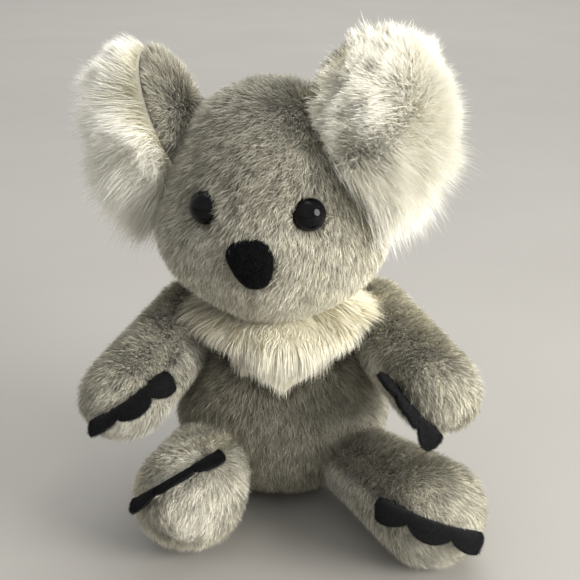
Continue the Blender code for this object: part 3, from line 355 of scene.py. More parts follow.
def strand_mesh(name, lines, normal, width, tone_and_shade, material):
    """Flat tapered blades along the lines, with strand, length and tone-and-shade values for the
    material.
    """
    count, rows = lines.shape[0], lines.shape[1]
    way = unit(np.gradient(lines, axis=1))
    side = unit(np.cross(way, normal[:, None, :]))
    roll = rng.normal(scale=0.5, size=count)[:, None, None]
    side = unit(side * np.cos(roll) + np.cross(way, side) * np.sin(roll))
    along = np.linspace(0.0, 1.0, rows)
    half = width[:, None] * (1.0 - along[None, :]) ** 0.6 / 2
    left = lines - side * half[:, :, None]
    right = lines + side * half[:, :, None]
    pairs = np.stack([left[:, :-1], right[:, :-1]], axis=2).reshape(count, -1, 3)
    verts = np.concatenate([pairs, lines[:, -1:]], axis=1)
    per = verts.shape[1]
    quads = rows - 2
    quad = np.array([[2 * k, 2 * k + 1, 2 * k + 3, 2 * k + 2] for k in range(quads)]).ravel()
    corner = np.concatenate([quad, [2 * quads, 2 * quads + 1, per - 1]])
    corners = (np.arange(count)[:, None] * per + corner[None, :]).ravel()
    sizes = np.tile(np.array([4] * quads + [3]), count)
    starts = np.concatenate([[0], np.cumsum(sizes)[:-1]])
    mesh = bpy.data.meshes.new(name)
    mesh.vertices.add(count * per)
    mesh.vertices.foreach_set("co", verts.astype(np.float32).ravel())
    mesh.loops.add(len(corners))
    mesh.loops.foreach_set("vertex_index", corners.astype(np.int32))
    mesh.polygons.add(len(sizes))
    mesh.polygons.foreach_set("loop_start", starts.astype(np.int32))
    mesh.update(calc_edges=True)
    mesh.polygons.foreach_set("use_smooth", np.ones(len(sizes), dtype=bool))
    vert_along = np.append(np.repeat(along[:-1], 2), 1.0)
    vert_side = np.append(np.tile([0.0, 1.0], rows - 1), 0.5)
    chance = rng.random(count)
    values = np.ones((count, per, 4), dtype=np.float32)
    values[:, :, 0] = chance[:, None]
    values[:, :, 1] = vert_along[None, :]
    values[:, :, 2] = tone_and_shade[:, None]
    fur = mesh.attributes.new("fur", "FLOAT_COLOR", "POINT")
    fur.data.foreach_set("color", values.ravel())
    cell = np.arange(count) % (CELLS * CELLS)
    map_u = (cell % CELLS)[:, None] + 0.15 + 0.7 * vert_side[None, :]
    map_v = (cell // CELLS)[:, None] + 0.05 + 0.9 * vert_along[None, :]
    uv = np.stack([map_u, map_v], axis=-1).reshape(-1, 2)[corners] / CELLS
    layer = mesh.uv_layers.new(name="OFBake")
    layer.data.foreach_set("uv", uv.astype(np.float32).ravel())
    mesh.materials.append(material)
    thing = bpy.data.objects.new(name, mesh)
    bpy.context.scene.collection.objects.link(thing)
    return thing


def add_coat(name, body, lines, normal, width, tone_and_shade, material):
    """Strands split into pieces of at most MOST_TRIANGLES triangles each. Strands as
    pieces small enough to export.
    """
    each = 2 * (lines.shape[1] - 2) + 1
    parts = max(1, math.ceil(len(lines) * each / MOST_TRIANGLES))
    made = []
    for index, pick in enumerate(np.array_split(np.arange(len(lines)), parts)):
        piece = f"{name}_{index + 1}"
        thing = strand_mesh(piece, lines[pick], normal[pick], width[pick], tone_and_shade[pick], material)
        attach(thing, body)
        made.append(thing)
    return made


def widths(count, width):
    return width * (0.7 + 0.6 * rng.random(count)) / math.sqrt(THIN)


def coat_lengths(count, least=0.8):
    return PILE * (least + 0.35 * rng.random(count))


def coat_leans(count, least=COAT_LEAN, extent=COAT_LEAN_RANGE):
    return np.radians(least + extent * rng.random(count))


def coat_flow(flow, normal, root, seed):
    return swirled(flow, normal, root, SWIRL_SIZE, seed, SWIRL_TURN, SWIRL_SPREAD)


def coat_lines(root, normal, flow, length, lean, curl=0.5):
    lines = strand_lines(root, normal, flow, length, lean, lean + curl, COAT_STEPS)
    return clump(lines, TUFT, TUFT_PULL)


# Materials


def node_material(name, roughness, sheen, specular=0.3):
    material = bpy.data.materials.new(name)
    material.use_nodes = True
    shader = material.node_tree.nodes["Principled BSDF"]
    shader.inputs["Roughness"].default_value = roughness
    shader.inputs["Sheen Weight"].default_value = sheen
    shader.inputs["Specular IOR Level"].default_value = specular
    return material, material.node_tree, shader


def ramp_node(tree, stops, source):
    ramp = tree.nodes.new("ShaderNodeValToRGB")
    elements = ramp.color_ramp.elements
    while len(elements) < len(stops):
        elements.new(0.5)
    for element, (place, colour) in zip(elements, stops):
        element.position = place
        element.color = (*colour, 1.0)
    tree.links.new(source, ramp.inputs["Fac"])
    return ramp.outputs["Color"]


def mix_node(tree, kind, factor, first, second):
    mix = tree.nodes.new("ShaderNodeMix")
    mix.data_type = "RGBA"
    mix.blend_type = kind
    for socket, value in ((mix.inputs[0], factor), (mix.inputs[6], first), (mix.inputs[7], second)):
        if isinstance(value, bpy.types.NodeSocket):
            tree.links.new(value, socket)
        else:
            socket.default_value = value
    return mix.outputs[2]


def noise_node(tree, scale, detail=3.0, roughness=0.6, vector=None):
    noise = tree.nodes.new("ShaderNodeTexNoise")
    noise.inputs["Scale"].default_value = scale
    noise.inputs["Detail"].default_value = detail
    noise.inputs["Roughness"].default_value = roughness
    if vector is None:
        vector = tree.nodes.new("ShaderNodeTexCoord").outputs["Object"]
    tree.links.new(vector, noise.inputs["Vector"])
    return noise.outputs["Fac"]


def fur_material(name, dark, light, share, roughness=0.7, sheen=0.15, mottle=0.25):
    """dark and light are (root, tip) colours of the two kinds of strand; share of them is light."""
    material, tree, shader = node_material(name, roughness, sheen, 0.2)
    values = tree.nodes.new("ShaderNodeAttribute")
    values.attribute_name = "fur"
    split = tree.nodes.new("ShaderNodeSeparateColor")
    tree.links.new(values.outputs["Color"], split.inputs["Color"])
    chance, along, tone_and_shade = (split.outputs[key] for key in ("Red", "Green", "Blue"))
    dark_colour = ramp_node(tree, [(0.1, dark[0]), (0.9, dark[1])], along)
    light_colour = ramp_node(tree, [(0.15, light[0]), (0.75, light[1])], along)
    edge = 1.0 - share
    low, high = (0.0, 0.0, 0.0), (1.0, 1.0, 1.0)
    kind = ramp_node(tree, [(max(edge - 0.25, 0.0), low), (min(edge + 0.25, 1.0), high)], chance)
    colour = mix_node(tree, "MIX", kind, dark_colour, light_colour)
    blotches = [(0.3, (1.0 - mottle,) * 3), (0.7, (1.0 + mottle,) * 3)]
    mottled = ramp_node(tree, blotches, noise_node(tree, 160.0))
    colour = mix_node(tree, "MULTIPLY", 1.0, colour, mottled)
    # the tone value scales the colour: the fur's own tone by region together with painted light and
    # shade
    shades = [(0.0, (0.38, 0.36, 0.31)), (0.5, (1.0, 1.0, 1.0)), (1.0, (1.35, 1.35, 1.35))]
    shade = ramp_node(tree, shades, tone_and_shade)
    colour = mix_node(tree, "MULTIPLY", 1.0, colour, shade)
    tree.links.new(colour, shader.inputs["Base Color"])
    return material


def cloth_material(name, low, high, scale, sheen=0.2, roughness=0.95, bump=0.0004):
    """Mottled cloth, felt or flock with a fine raised grain."""
    material, tree, shader = node_material(name, roughness, sheen, 0.15)
    grain = noise_node(tree, scale, 6.0, 0.7)
    colour = ramp_node(tree, [(0.3, low), (0.7, high)], grain)
    tree.links.new(colour, shader.inputs["Base Color"])
    raised = tree.nodes.new("ShaderNodeBump")
    raised.inputs["Distance"].default_value = bump
    raised.inputs["Strength"].default_value = 0.6
    tree.links.new(grain, raised.inputs["Height"])
    tree.links.new(raised.outputs["Normal"], shader.inputs["Normal"])
    return material


def eye_material():
    material, tree, shader = node_material("eye_dome", 0.05, 0.0, 0.15)
    grain = noise_node(tree, 300.0, 2.0)
    colour = ramp_node(tree, [(0.3, (0.002, 0.002, 0.003)), (0.7, (0.005, 0.005, 0.005))], grain)
    tree.links.new(colour, shader.inputs["Base Color"])
    rough = ramp_node(tree, [(0.3, (0.04,) * 3), (0.8, (0.09,) * 3)], noise_node(tree, 900.0, 4.0))
    tree.links.new(rough, shader.inputs["Roughness"])
    return material


GREY_FUR = fur_material(
    "grey_fur",
    ((0.19, 0.175, 0.132), (0.25, 0.232, 0.178)),
    ((0.33, 0.305, 0.235), (0.80, 0.765, 0.63)),
    0.52,
)
PALE_FUR = fur_material(
    "pale_fur",
    ((0.27, 0.252, 0.20), (0.40, 0.38, 0.31)),
    ((0.42, 0.395, 0.32), (0.86, 0.83, 0.72)),
    0.62,
)
WHITE_FUR = fur_material(
    "white_fur",
    ((0.84, 0.80, 0.62), (0.91, 0.885, 0.79)),
    ((0.88, 0.85, 0.70), (0.96, 0.945, 0.88)),
    0.65,
    mottle=0.05,
)
CREAM_FUR = fur_material(
    "cream_fur",
    ((0.90, 0.83, 0.62), (0.95, 0.90, 0.74)),
    ((0.93, 0.88, 0.69), (0.97, 0.94, 0.81)),
    0.65,
    mottle=0.05,
)
GREY_CLOTH = cloth_material("grey_backing", (0.26, 0.24, 0.19), (0.36, 0.335, 0.27), 700.0)
WHITE_CLOTH = cloth_material("white_backing", (0.80, 0.75, 0.60), (0.90, 0.86, 0.73), 700.0)
FELT_CLOTH = cloth_material("felt", (0.0025, 0.0025, 0.003), (0.0085, 0.0085, 0.0095), 1500.0, 0.02)
FLOCK = cloth_material("flock", (0.0015, 0.0015, 0.0015), (0.0055, 0.0055, 0.006), 2500.0, 0.0)
BLACK_FUZZ = fur_material(
    "black_fuzz",
    ((0.002, 0.002, 0.002), (0.006, 0.006, 0.0065)),
    ((0.004, 0.004, 0.0045), (0.022, 0.022, 0.024)),
    0.25,
    sheen=0.0,
)
EYE_GLOSS = eye_material()


# Solid pieces


def grid_object(name, points, rows, columns, material, wrap=True):
    """Smooth surface over rows by columns of points, closed round the columns."""
    faces = []
    last = columns if wrap else columns - 1
    for row in range(rows - 1):
        for column in range(last):
            here, beside = row * columns + column, row * columns + (column + 1) % columns
            faces.append((here, beside, beside + columns, here + columns))
    mesh = bpy.data.meshes.new(name)
    mesh.from_pydata([tuple(point) for point in points], [], faces)
    mesh.validate()
    mesh.shade_smooth()
    mesh.materials.append(material)
    thing = bpy.data.objects.new(name, mesh)
    bpy.context.scene.collection.objects.link(thing)
    return thing


def hide_object(name, form, depth, material, body, nodes, rows=72, columns=96, start=0.0):
    """The cloth under the fur, which stands for the skins and the stuffing."""
    u = np.repeat(np.linspace(start, 1.0, rows), columns)
    v = np.tile(np.arange(columns) / columns, rows)
    thing = grid_object(name, form(u, v, depth), rows, columns, material)
    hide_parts(*nodes)
    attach(thing, body)
    return thing


# Face fittings


def seat_matrix(way, sunk, roll=0.0):
    """Where an eye or nose sits, with local Z out of the head and local Y up."""
    way = unit(np.array(way))
    place = Vector(way * (head_radius(way[None, :])[0] - sunk))
    forward = Vector(way)
    across = Vector((0.0, 0.0, 1.0)).cross(forward).normalized()
    turn = Matrix((across, forward.cross(across), forward)).transposed().to_4x4()
    return HEAD @ Matrix.Translation(place) @ turn @ rotation(roll, "Z")


def eye_way(side):
    forward = math.sqrt((HEAD_DEPTH / 2) ** 2 - (EYE_SPACING / 2) ** 2)
    return (side * EYE_SPACING / 2, -forward, EYE_RISE)


EYE_SEATS = {name: seat_matrix(eye_way(side), EYE_SUNK) for name, side in SIDES.items()}
NOSE_SEAT = seat_matrix((0.0, -HEAD_DEPTH / 2, -NOSE_DROP), NOSE_SUNK, NOSE_ROLL)


def build_eyes():
    for name in SIDES:
        rows, columns = 28, 72
        angle = np.linspace(0.0, np.pi / 2, rows)
        turn = np.arange(columns) / columns * 2 * np.pi
        ring = EYE_RADIUS * np.sin(angle)[:, None]
        height = np.repeat(EYE_HEIGHT * np.cos(angle)[:, None], columns, axis=1)
        points = np.stack([ring * np.cos(turn), ring * np.sin(turn), height], axis=-1)
        skirt = points[-1] * np.array([1.0, 1.0, 0.0]) - np.array([0.0, 0.0, EYE_SKIRT])
        points = np.concatenate([points.reshape(-1, 3), skirt])
        points = placed(EYE_SEATS[name], points)
        eye = grid_object(f"eye_{name}_dome", points, rows + 1, columns, EYE_GLOSS)
        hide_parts(f"eye_{name}")
        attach(eye, "head")


def nose_half_width(up):
    return NOSE_WIDTH / 2 * (1.0 + NOSE_TAPER * (up - NOSE_WAIST))


def nose_outline(angle):
    across = np.copysign(np.abs(np.cos(angle)) ** NOSE_SQUARENESS, np.cos(angle))
    upward = np.copysign(np.abs(np.sin(angle)) ** NOSE_SQUARENESS, np.sin(angle))
    return across * nose_half_width(upward), upward * NOSE_HEIGHT / 2


def nose_form(u, v, depth):
    angle = np.pi / 2 * u
    across, upward = nose_outline(2 * np.pi * v)
    ring = np.sin(angle) ** 0.7
    front = NOSE_THICKNESS - NOSE_SUNK
    height = (front - depth) * np.cos(angle)
    return placed(NOSE_SEAT, np.stack([across * ring, upward * ring, height], axis=-1))


def build_nose():
    rows, columns = 30, 120
    u = np.repeat(np.linspace(0.0, 1.0, rows), columns)
    v = np.tile(np.arange(columns) / columns, rows)
    points = nose_form(u, v, 0.0)
    rim = local(NOSE_SEAT, points[-columns:])
    skirt = placed(NOSE_SEAT, rim - np.array([0.0, 0.0, NOSE_SKIRT]))
    nose = grid_object("nose_flocked", np.concatenate([points, skirt]), rows + 1, columns, FLOCK)
    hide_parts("nose")
    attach(nose, "head")
    u, v = scatter(nose_form, FLOCK_DENSITY, (0.02, 1.0))
    root, normal = surface(nose_form, u, v, 0.0)
    count = len(root)
    flow = along_surface(rng.normal(size=root.shape), normal)
    lean = coat_leans(count, 10.0, 35.0)
    length = FLOCK_LENGTH * (0.5 + rng.random(count))
    lines = strand_lines(root, normal, flow, length, lean, lean + 0.3, 2)
    wide, tone_and_shade = widths(count, FLOCK_WIDTH), np.full(count, 0.5)
    add_coat("nose_flock", "head", lines, normal, wide, tone_and_shade, BLACK_FUZZ)


# Coats


def away_from(points, seat, flow, normal, near, far, brow):
    """Turns the flow away from a seat for points near it, but not above its brow line."""
    spot = local(seat, points)
    offset = points - np.array(seat)[:3, 3]
    share = smooth((far - np.linalg.norm(offset, axis=1)) / (far - near))
    share = share * smooth((brow - spot[:, 1]) / 0.003)
    outward = unit(offset) * share[:, None] * 1.5
    return along_surface(flow * (1.0 - share)[:, None] + outward, normal)


def side_edge(turn):
    """Polar angle of the seam between a head side and the gusset."""
    share = smooth(np.minimum(turn - GUSSET_START, GUSSET_END - turn) / GUSSET_TAPER)
    return 90.0 - GUSSET_HALF_WIDTH * share


def clear_of_face(outer):
    """Which places on the head aren't under an eye or the nose."""
    keep = np.ones(len(outer), dtype=bool)
    for seat in EYE_SEATS.values():
        spot = local(seat, outer)
        keep &= (np.hypot(spot[:, 0], spot[:, 1]) > EYE_RADIUS * 0.97) | (spot[:, 2] < -0.01)
    spot = local(NOSE_SEAT, outer)
    up = spot[:, 1] / (NOSE_HEIGHT / 2)
    inside = np.hypot(spot[:, 0] / nose_half_width(up), up) < 0.88
    return keep & ~(inside & (spot[:, 2] > -0.01))


def distance(points, seat):
    return np.linalg.norm(points - placed(seat, np.zeros((1, 3)))[0], axis=1)


def build_head():
    hide_object(
        "head_hide", head_form, ROOT_DEPTH, GREY_CLOTH, "head",
        ["head_side_left", "head_side_right", "head_gusset", "head_stuffing"],
    )
    u, v = scatter(head_form, COAT_DENSITY)
    root, normal = surface(head_form, u, v, ROOT_DEPTH)
    outer = head_form(u, v, 0.0)
    keep = clear_of_face(outer)
    v, root, normal, outer = v[keep], root[keep], normal[keep], outer[keep]
    whorl = placed(HEAD, np.array([[0.018, -0.005, 0.046]]))[0]
    combed = root - whorl + np.array([-0.006, 0.0, -0.010])
    flow = along_surface(combed + 0.006 * rng.normal(size=root.shape), normal)
    flow = coat_flow(flow, normal, root, 5)
    for seat in EYE_SEATS.values():
        flow = away_from(outer, seat, flow, normal, 0.007, 0.011, 0.005)
    flow = away_from(outer, NOSE_SEAT, flow, normal, 0.009, 0.013, 0.006)
    length = coat_lengths(len(root))
    near_eye = np.min([distance(outer, seat) for seat in EYE_SEATS.values()], axis=0)
    length *= 0.55 + 0.45 * smooth((near_eye - 0.006) / 0.008)
    length *= 0.65 + 0.35 * smooth((distance(outer, NOSE_SEAT) - 0.008) / 0.006)
    place = local(HEAD, root)
    gap = np.abs(np.degrees(np.arccos(np.clip(unit(place)[:, 0], -1, 1)) - np.pi / 2))
    turn = 360.0 * v
    edge = side_edge(np.where(turn > 270.0, turn - 360.0, turn))
    seam = np.abs(gap - (90.0 - edge)) * 0.75e-3
    length *= 0.75 + 0.25 * smooth(seam / 0.0015)
    lines = coat_lines(root, normal, flow, length, coat_leans(len(root)), 0.55)
    # darker over the brow, lighter under the chin, on the lit cheek and on the lit crown
    side = place[:, 0] / (HEAD_WIDTH / 2)
    front = -place[:, 1] / (HEAD_DEPTH / 2)
    height = place[:, 2] / (HEAD_HEIGHT / 2)
    tone_and_shade = 0.50 - 0.20 * smooth((height + 0.10) / 0.5) * smooth(front + 0.2)
    tone_and_shade += 0.16 * smooth((-height + 0.1) / 0.6)
    tone_and_shade += 0.40 * smooth(side) * smooth((-height + 0.4) / 0.5)
    lit_crown = smooth(place[:, 0] / 0.016) * smooth((height - 0.2) / 0.3)
    tone_and_shade += 0.30 * lit_crown * smooth(front + 0.4)
    tone_and_shade += 0.05 * ripple(root, 0.018, 8)
    wide = widths(len(root), STRAND_WIDTH)
    add_coat("head_fur", "head", lines, normal, wide, tone_and_shade, GREY_FUR)
    build_eyes()
    build_nose()


def bib_edge(turn_out):
    """Height of the bib's lower edge at an angle off the middle of the chest."""
    rise = BIB_RISE * (np.abs(turn_out) / BIB_SWEEP) ** BIB_POINT
    return np.minimum(BIB_TIP + rise, BIB_TOP - 0.0005)


def build_torso():
    hide_object(
        "torso_hide", torso_form, ROOT_DEPTH, GREY_CLOTH, "torso",
        ["torso_panel_left", "torso_panel_right", "torso_stuffing", "seat_panel"],
    )
    u, v = scatter(torso_form, COAT_DENSITY)
    root, normal = surface(torso_form, u, v, ROOT_DEPTH)
    outer = torso_form(u, v, 0.0)
    turn_out = turn_from_front(outer)
    on_bib = (outer[:, 2] > bib_edge(turn_out)) & (np.abs(turn_out) < BIB_SHAVED_SWEEP)
    keep = ~on_bib & (outer[:, 2] > FLOOR_CLEAR)
    root, normal, outer = root[keep], normal[keep], outer[keep]
    count = len(root)
    down = along_surface(np.tile([0.0, 0.0, -1.0], (count, 1)), normal)
    seam = np.abs(outer[:, 0])
    near_seam = smooth(1.0 - seam / 0.004)
    parting = np.sign(outer[:, 0])[:, None] * np.array([1.0, 0.0, 0.0]) * near_seam[:, None]
    flow = along_surface(down + 0.4 * parting, normal)
    flow = coat_flow(flow, normal, root, 15)
    length = coat_lengths(count) * (0.7 + 0.3 * smooth(seam / 0.002))
    lines = coat_lines(root, normal, flow, length, coat_leans(count))
    lines[:, :, 2] = np.maximum(lines[:, :, 2], FLOOR_LIFT)
    # painted shade: the torso's fur is set darker overall, as under the head's shadow, and painted
    # light makes it lighter towards the lamp on the right; it is also a little darker along the
    # middle seam
    tone_and_shade = 0.25 + 1.8 * outer[:, 0] + 0.05 * ripple(root, 0.018, 9) - 0.03 * near_seam
    wide = widths(count, STRAND_WIDTH)
    add_coat("torso_fur", "torso", lines, normal, wide, tone_and_shade, GREY_FUR)


def build_bib_backing():
    rows, columns = 24, 48
    across = np.tile(np.linspace(-0.94, 0.94, columns), rows)
    down = np.repeat(np.linspace(0.0, 1.0, rows), columns)
    angle = np.radians(across * BIB_SWEEP)
    height = BIB_TOP + (bib_edge(np.degrees(angle)) - BIB_TOP) * down
    tall = (height - BELLY_HEIGHT) / (SHOULDER_HEIGHT - BELLY_HEIGHT)
    ring = np.maximum(1.0 - np.abs(tall) ** UPPER_FULLNESS, 0.0) ** (1.0 / UPPER_FULLNESS)
    half_width = TORSO_WIDTH / 2 * ring - BIB_BACKING_DEPTH
    half_depth = TORSO_DEPTH / 2 * ring - BIB_BACKING_DEPTH
    back = -half_depth * np.cos(angle) - TORSO_LEAN * height / SHOULDER_HEIGHT
    sheet = np.stack([half_width * np.sin(angle), back, height - 0.0015], axis=-1)
    cloth = grid_object("bib_backing", sheet, rows, columns, WHITE_CLOTH, wrap=False)
    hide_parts("chest_bib")
    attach(cloth, "torso")


def build_bib():
    """Long cream pile on the upper chest, combed down to a point."""
    u, v = scatter(torso_form, BIB_DENSITY)
    outer, normal = surface(torso_form, u, v, 0.0)
    turn_out = turn_from_front(outer)
    keep = (outer[:, 2] > bib_edge(turn_out) + BIB_MARGIN) & (outer[:, 2] < BIB_TOP)
    keep &= np.abs(turn_out) < BIB_SWEEP
    outer, normal, turn_out = outer[keep], normal[keep], turn_out[keep]
    root = outer - normal * BIB_ROOT_DEPTH
    count = len(root)
    build_bib_backing()
    middle = -0.5 * np.sin(np.radians(turn_out))
    down = np.stack([middle, np.zeros(count), np.full(count, -1.0)], axis=1)
    flow = swirled(along_surface(down, normal), normal, root, 0.014, 23, 26.0, 16.0)
    above = outer[:, 2] - bib_edge(turn_out)
    length = (0.0085 + 0.0055 * smooth(above / 0.014)) * (0.7 + 0.5 * rng.random(count))
    lean = coat_leans(count, 30.0, 20.0)
    lines = strand_lines(root, normal, flow, length, lean, lean + 0.6, 4)
    fall = smooth((outer[:, 2] - 0.067) / 0.006)
    lines[:, :, 2] -= 0.009 * fall[:, None] * np.linspace(0.0, 1.0, 5)[None, :] ** 2
    lines = clump(lines, BIB_TUFT, 0.5)
    tone_and_shade = 0.46 + 0.06 * ripple(root, 0.012, 24)
    wide = widths(count, BIB_STRAND_WIDTH)
    add_coat("bib_pile", "torso", lines, normal, wide, tone_and_shade, CREAM_FUR)
    build_collar()


def build_collar():
    """The bib's upper edge: strands that leave the neck, go out under the chin and fall."""
    count = int(COLLAR_COUNT * THIN)
    turn = np.radians(COLLAR_SWEEP * (2.0 * rng.random(count) - 1.0))
    inward = rng.random(count)
    corner = smooth((np.abs(np.degrees(turn)) - 40.0) / 35.0)
    middle = np.exp(-((np.degrees(turn) / 24.0) ** 2))
    way = np.stack([np.sin(turn), -np.cos(turn), np.zeros(count)], axis=-1)
    root = way * (COLLAR_RING - COLLAR_INWARD * inward)[:, None]
    root[:, 1] -= TORSO_LEAN
    root[:, 2] = BIB_TOP + 0.0015 + 0.003 * inward + 0.006 * corner
    out = (0.009 + 0.004 * corner) * (0.6 + 0.7 * rng.random(count))
    out = out * (1.0 + 0.3 * ripple(root, 0.006, 26))
    down = (0.0055 + 0.008 * middle) * (0.6 + 0.7 * rng.random(count))
    drift = 0.7 * ripple(root, 0.012, 27) + 0.4 * ripple(root, 0.005, 29)
    drift = drift + 0.25 * rng.normal(size=count)
    side = np.cross(way, np.array([0.0, 0.0, 1.0])) * drift[:, None]
    along = np.linspace(0.0, 1.0, 6)
    reach = out[:, None] * np.sin(along * 1.5)[None, :]
    lines = root[:, None, :] + (way + side)[:, None, :] * reach[:, :, None]
    lines[:, :, 2] -= down[:, None] * along[None, :] ** 2
    lines = clump(lines, COLLAR_TUFT, TUFT_PULL)
    normal = unit(way + np.array([0.0, 0.0, 0.8]))
    # painted light: the collar is set lighter on the side towards the lamp on the right and darker
    # on the other side
    tone_and_shade = 0.46 + 0.24 * np.sin(turn) + 0.06 * ripple(root, 0.012, 28)
    wide = widths(count, BIB_STRAND_WIDTH)
    add_coat("bib_collar", "torso", lines, normal, wide, tone_and_shade, CREAM_FUR)


def claw_edge(name, angle, extra):
    sizes, rise, turn = LIMBS[name][0], LIMBS[name][5], LIMBS[name][6]
    radius = math.sqrt(sizes["tip"] ** 2 - rise**2) + extra
    centre = math.sqrt(sizes["reach"] ** 2 - rise**2)
    angle = np.radians(angle + turn)
    return radius * sizes["wide"] * np.sin(angle), centre + radius * np.cos(angle)


def claw_length(share):
    lobe = np.abs(np.sin(np.pi * CLAW_COUNT * share)) ** 0.6
    end = np.minimum(np.sin(np.pi * share) * CLAW_COUNT, 1.0)
    return CLAW_WEB * end + (CLAW_LENGTH - CLAW_WEB) * lobe


def claw_points(name, share, out, lift):
    """Felt that leaves the seam by out and droops over the palm or sole, lifted off its middle."""
    droops = np.radians(DROOPS[name])
    place = np.clip(share * CLAW_COUNT - 0.5, 0.0, CLAW_COUNT - 1.0)
    before = np.minimum(place.astype(int), CLAW_COUNT - 2)
    droop = droops[before] + (droops[before + 1] - droops[before]) * smooth(place - before)
    bent = np.clip((out - CLAW_BEND_START) / CLAW_BEND_RADIUS, 0.0, droop)
    straight = np.maximum(out - CLAW_BEND_START - CLAW_BEND_RADIUS * droop, 0.0)
    outward = np.minimum(out, CLAW_BEND_START) + CLAW_BEND_RADIUS * np.sin(bent)
    outward = outward + straight * np.cos(bent)
    down = CLAW_BEND_RADIUS * (1.0 - np.cos(bent)) + straight * np.sin(bent)
    across, along = claw_edge(name, CLAW_SWEEP * (share - 0.5), outward + lift * np.sin(bent))
    return placed(seam_matrix(name), np.stack([across, lift * np.cos(bent) - down, along], axis=-1))


def build_claws(name):
    """Felt claws: three rounded lobes on one strip, with softened edges and a little fuzz."""
    steps, rows = 150, 22
    share = np.linspace(0.0, 1.0, steps + 1)
    length = np.maximum(claw_length(share), CLAW_SHORTEST)
    rings = []
    for lift_share in (1.0, -1.0):
        ends = np.linspace(0.0, 1.0, rows) if lift_share > 0.0 else np.linspace(1.0, 0.0, rows)
        for end in ends:
            out = -CLAW_SEAM_DEPTH + (length + CLAW_SEAM_DEPTH) * end
            thin = np.sqrt(np.clip((length - out) / 0.0005, 0.0, 1.0)) * 0.75 + 0.25
            rings.append(claw_points(name, share, out, lift_share * FELT / 2 * thin))
    points = np.concatenate(rings)
    claws = grid_object(f"{name}_felt", points, len(rings), steps + 1, FELT_CLOTH, wrap=False)
    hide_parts(f"{name}_claws")
    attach(claws, name)
    count = int(FUZZ_COUNT * THIN)
    share = rng.random(count)
    out = np.maximum(claw_length(share), CLAW_SHORTEST) * rng.random(count) ** 0.4
    face = np.where(rng.random(count) < 0.5, -1.0, 1.0)
    root = claw_points(name, share, out, face * FELT / 2)
    normal = unit(root - claw_points(name, share, out, 0.0))
    flow = along_surface(rng.normal(size=root.shape), normal)
    lean = coat_leans(count, 50.0, 30.0)
    length = FUZZ_LENGTH * (0.4 + rng.random(count))
    lines = strand_lines(root, normal, flow, length, lean, lean + 0.3, 2)
    wide, tone_and_shade = widths(count, FUZZ_WIDTH), np.full(count, 0.5)
    add_coat(f"{name}_fuzz", name, lines, normal, wide, tone_and_shade, BLACK_FUZZ)


def build_limb(name):
    kind = name.split("_")[0]
    under = {"arm": "palm", "leg": "sole"}[kind]
    form, matrix, split = limb_form(name), limb_matrix(name), seam_matrix(name)
    hide_object(
        f"{name}_hide", form, ROOT_DEPTH, GREY_CLOTH, name,
        [f"{name}_upper", f"{name}_{under}", f"{name}_stuffing"],
    )
    u, v = scatter(form, COAT_DENSITY)
    root, normal = surface(form, u, v, ROOT_DEPTH)
    outer = form(u, v, 0.0)
    if kind == "leg":
        keep = outer[:, 2] > FLOOR_CLEAR
        root, normal, outer = root[keep], normal[keep], outer[keep]
    count = len(root)
    across = local(split, outer)[:, 1]
    axis, up = np.array(matrix)[:3, 2], np.array(split)[:3, 1]
    seam = np.abs(across)
    flow = along_surface(np.tile(axis, (count, 1)) + np.array([0.0, 0.0, -0.35]), normal)
    parting = np.sign(across)[:, None] * up[None, :] * smooth(1.0 - seam / 0.005)[:, None]
    flow = along_surface(flow + 1.4 * parting, normal)
    flow = coat_flow(flow, normal, root, 31 + len(name))
    length = coat_lengths(count) * (0.75 + 0.25 * smooth(seam / 0.002))
    lines = coat_lines(root, normal, flow, length, coat_leans(count))
    lines[:, :, 2] = np.maximum(lines[:, :, 2], FLOOR_LIFT)
    reach = local(matrix, outer)[:, 2] / LIMBS[name][0]["reach"]
    base, change = LIMB_TONE_AND_SHADE[name]
    # painted light and shade: the limb's tone from root to paw follows how the lamp lights that
    # limb
    tone_and_shade = base + change * smooth((reach - 0.2) / 0.7) + 0.05 * ripple(root, 0.018, 12)
    # painted shade: the palm or sole side is set darker than the upper side
    tone_and_shade = tone_and_shade - np.where(across > 0.0, 0.0, 0.10)
    wide = widths(count, STRAND_WIDTH)
    # painted light: leg_right's upper side takes the pale fur so that it reads as lit
    for part, slot, fur, label in (
        (across > 0.0, "grey_plush", PALE_FUR if name == "leg_right" else GREY_FUR, "upper"),
        (across <= 0.0, "pale_plush", PALE_FUR, under),
    ):
        piece = f"{name}_{label}_fur"
        add_coat(piece, name, lines[part], normal[part], wide[part], tone_and_shade[part], fur)
    build_claws(name)


def build_ear(side_name):
    body, matrix, form = f"ear_{side_name}", ear_matrix(side_name), ear_form(side_name)
    hide_object(
        f"{body}_hide", form, EAR_ROOT_DEPTH, GREY_CLOTH, body,
        [f"{body}_back"], 24, 72,
    )
    u, v = scatter(form, COAT_DENSITY)
    root, normal = surface(form, u, v, EAR_ROOT_DEPTH)
    count = len(root)
    spread = unit(root - np.array(matrix)[:3, 3] + np.array([0.0, 0.0, -0.004]))
    flow = swirled(along_surface(spread, normal), normal, root, SWIRL_SIZE, 41, 36.0, 40.0)
    length = coat_lengths(count, 0.85) * (1.0 - 0.5 * smooth((u - 0.65) / 0.3))
    lines = coat_lines(root, normal, flow, length, coat_leans(count, 34.0, 20.0))
    tone_and_shade = 0.46 + 0.05 * ripple(root, 0.018, 13)
    wide = widths(count, STRAND_WIDTH)
    add_coat(f"{body}_back_fur", body, lines, normal, wide, tone_and_shade, GREY_FUR)
    build_front_panel(body, matrix)
    build_fluff(side_name, body, matrix)


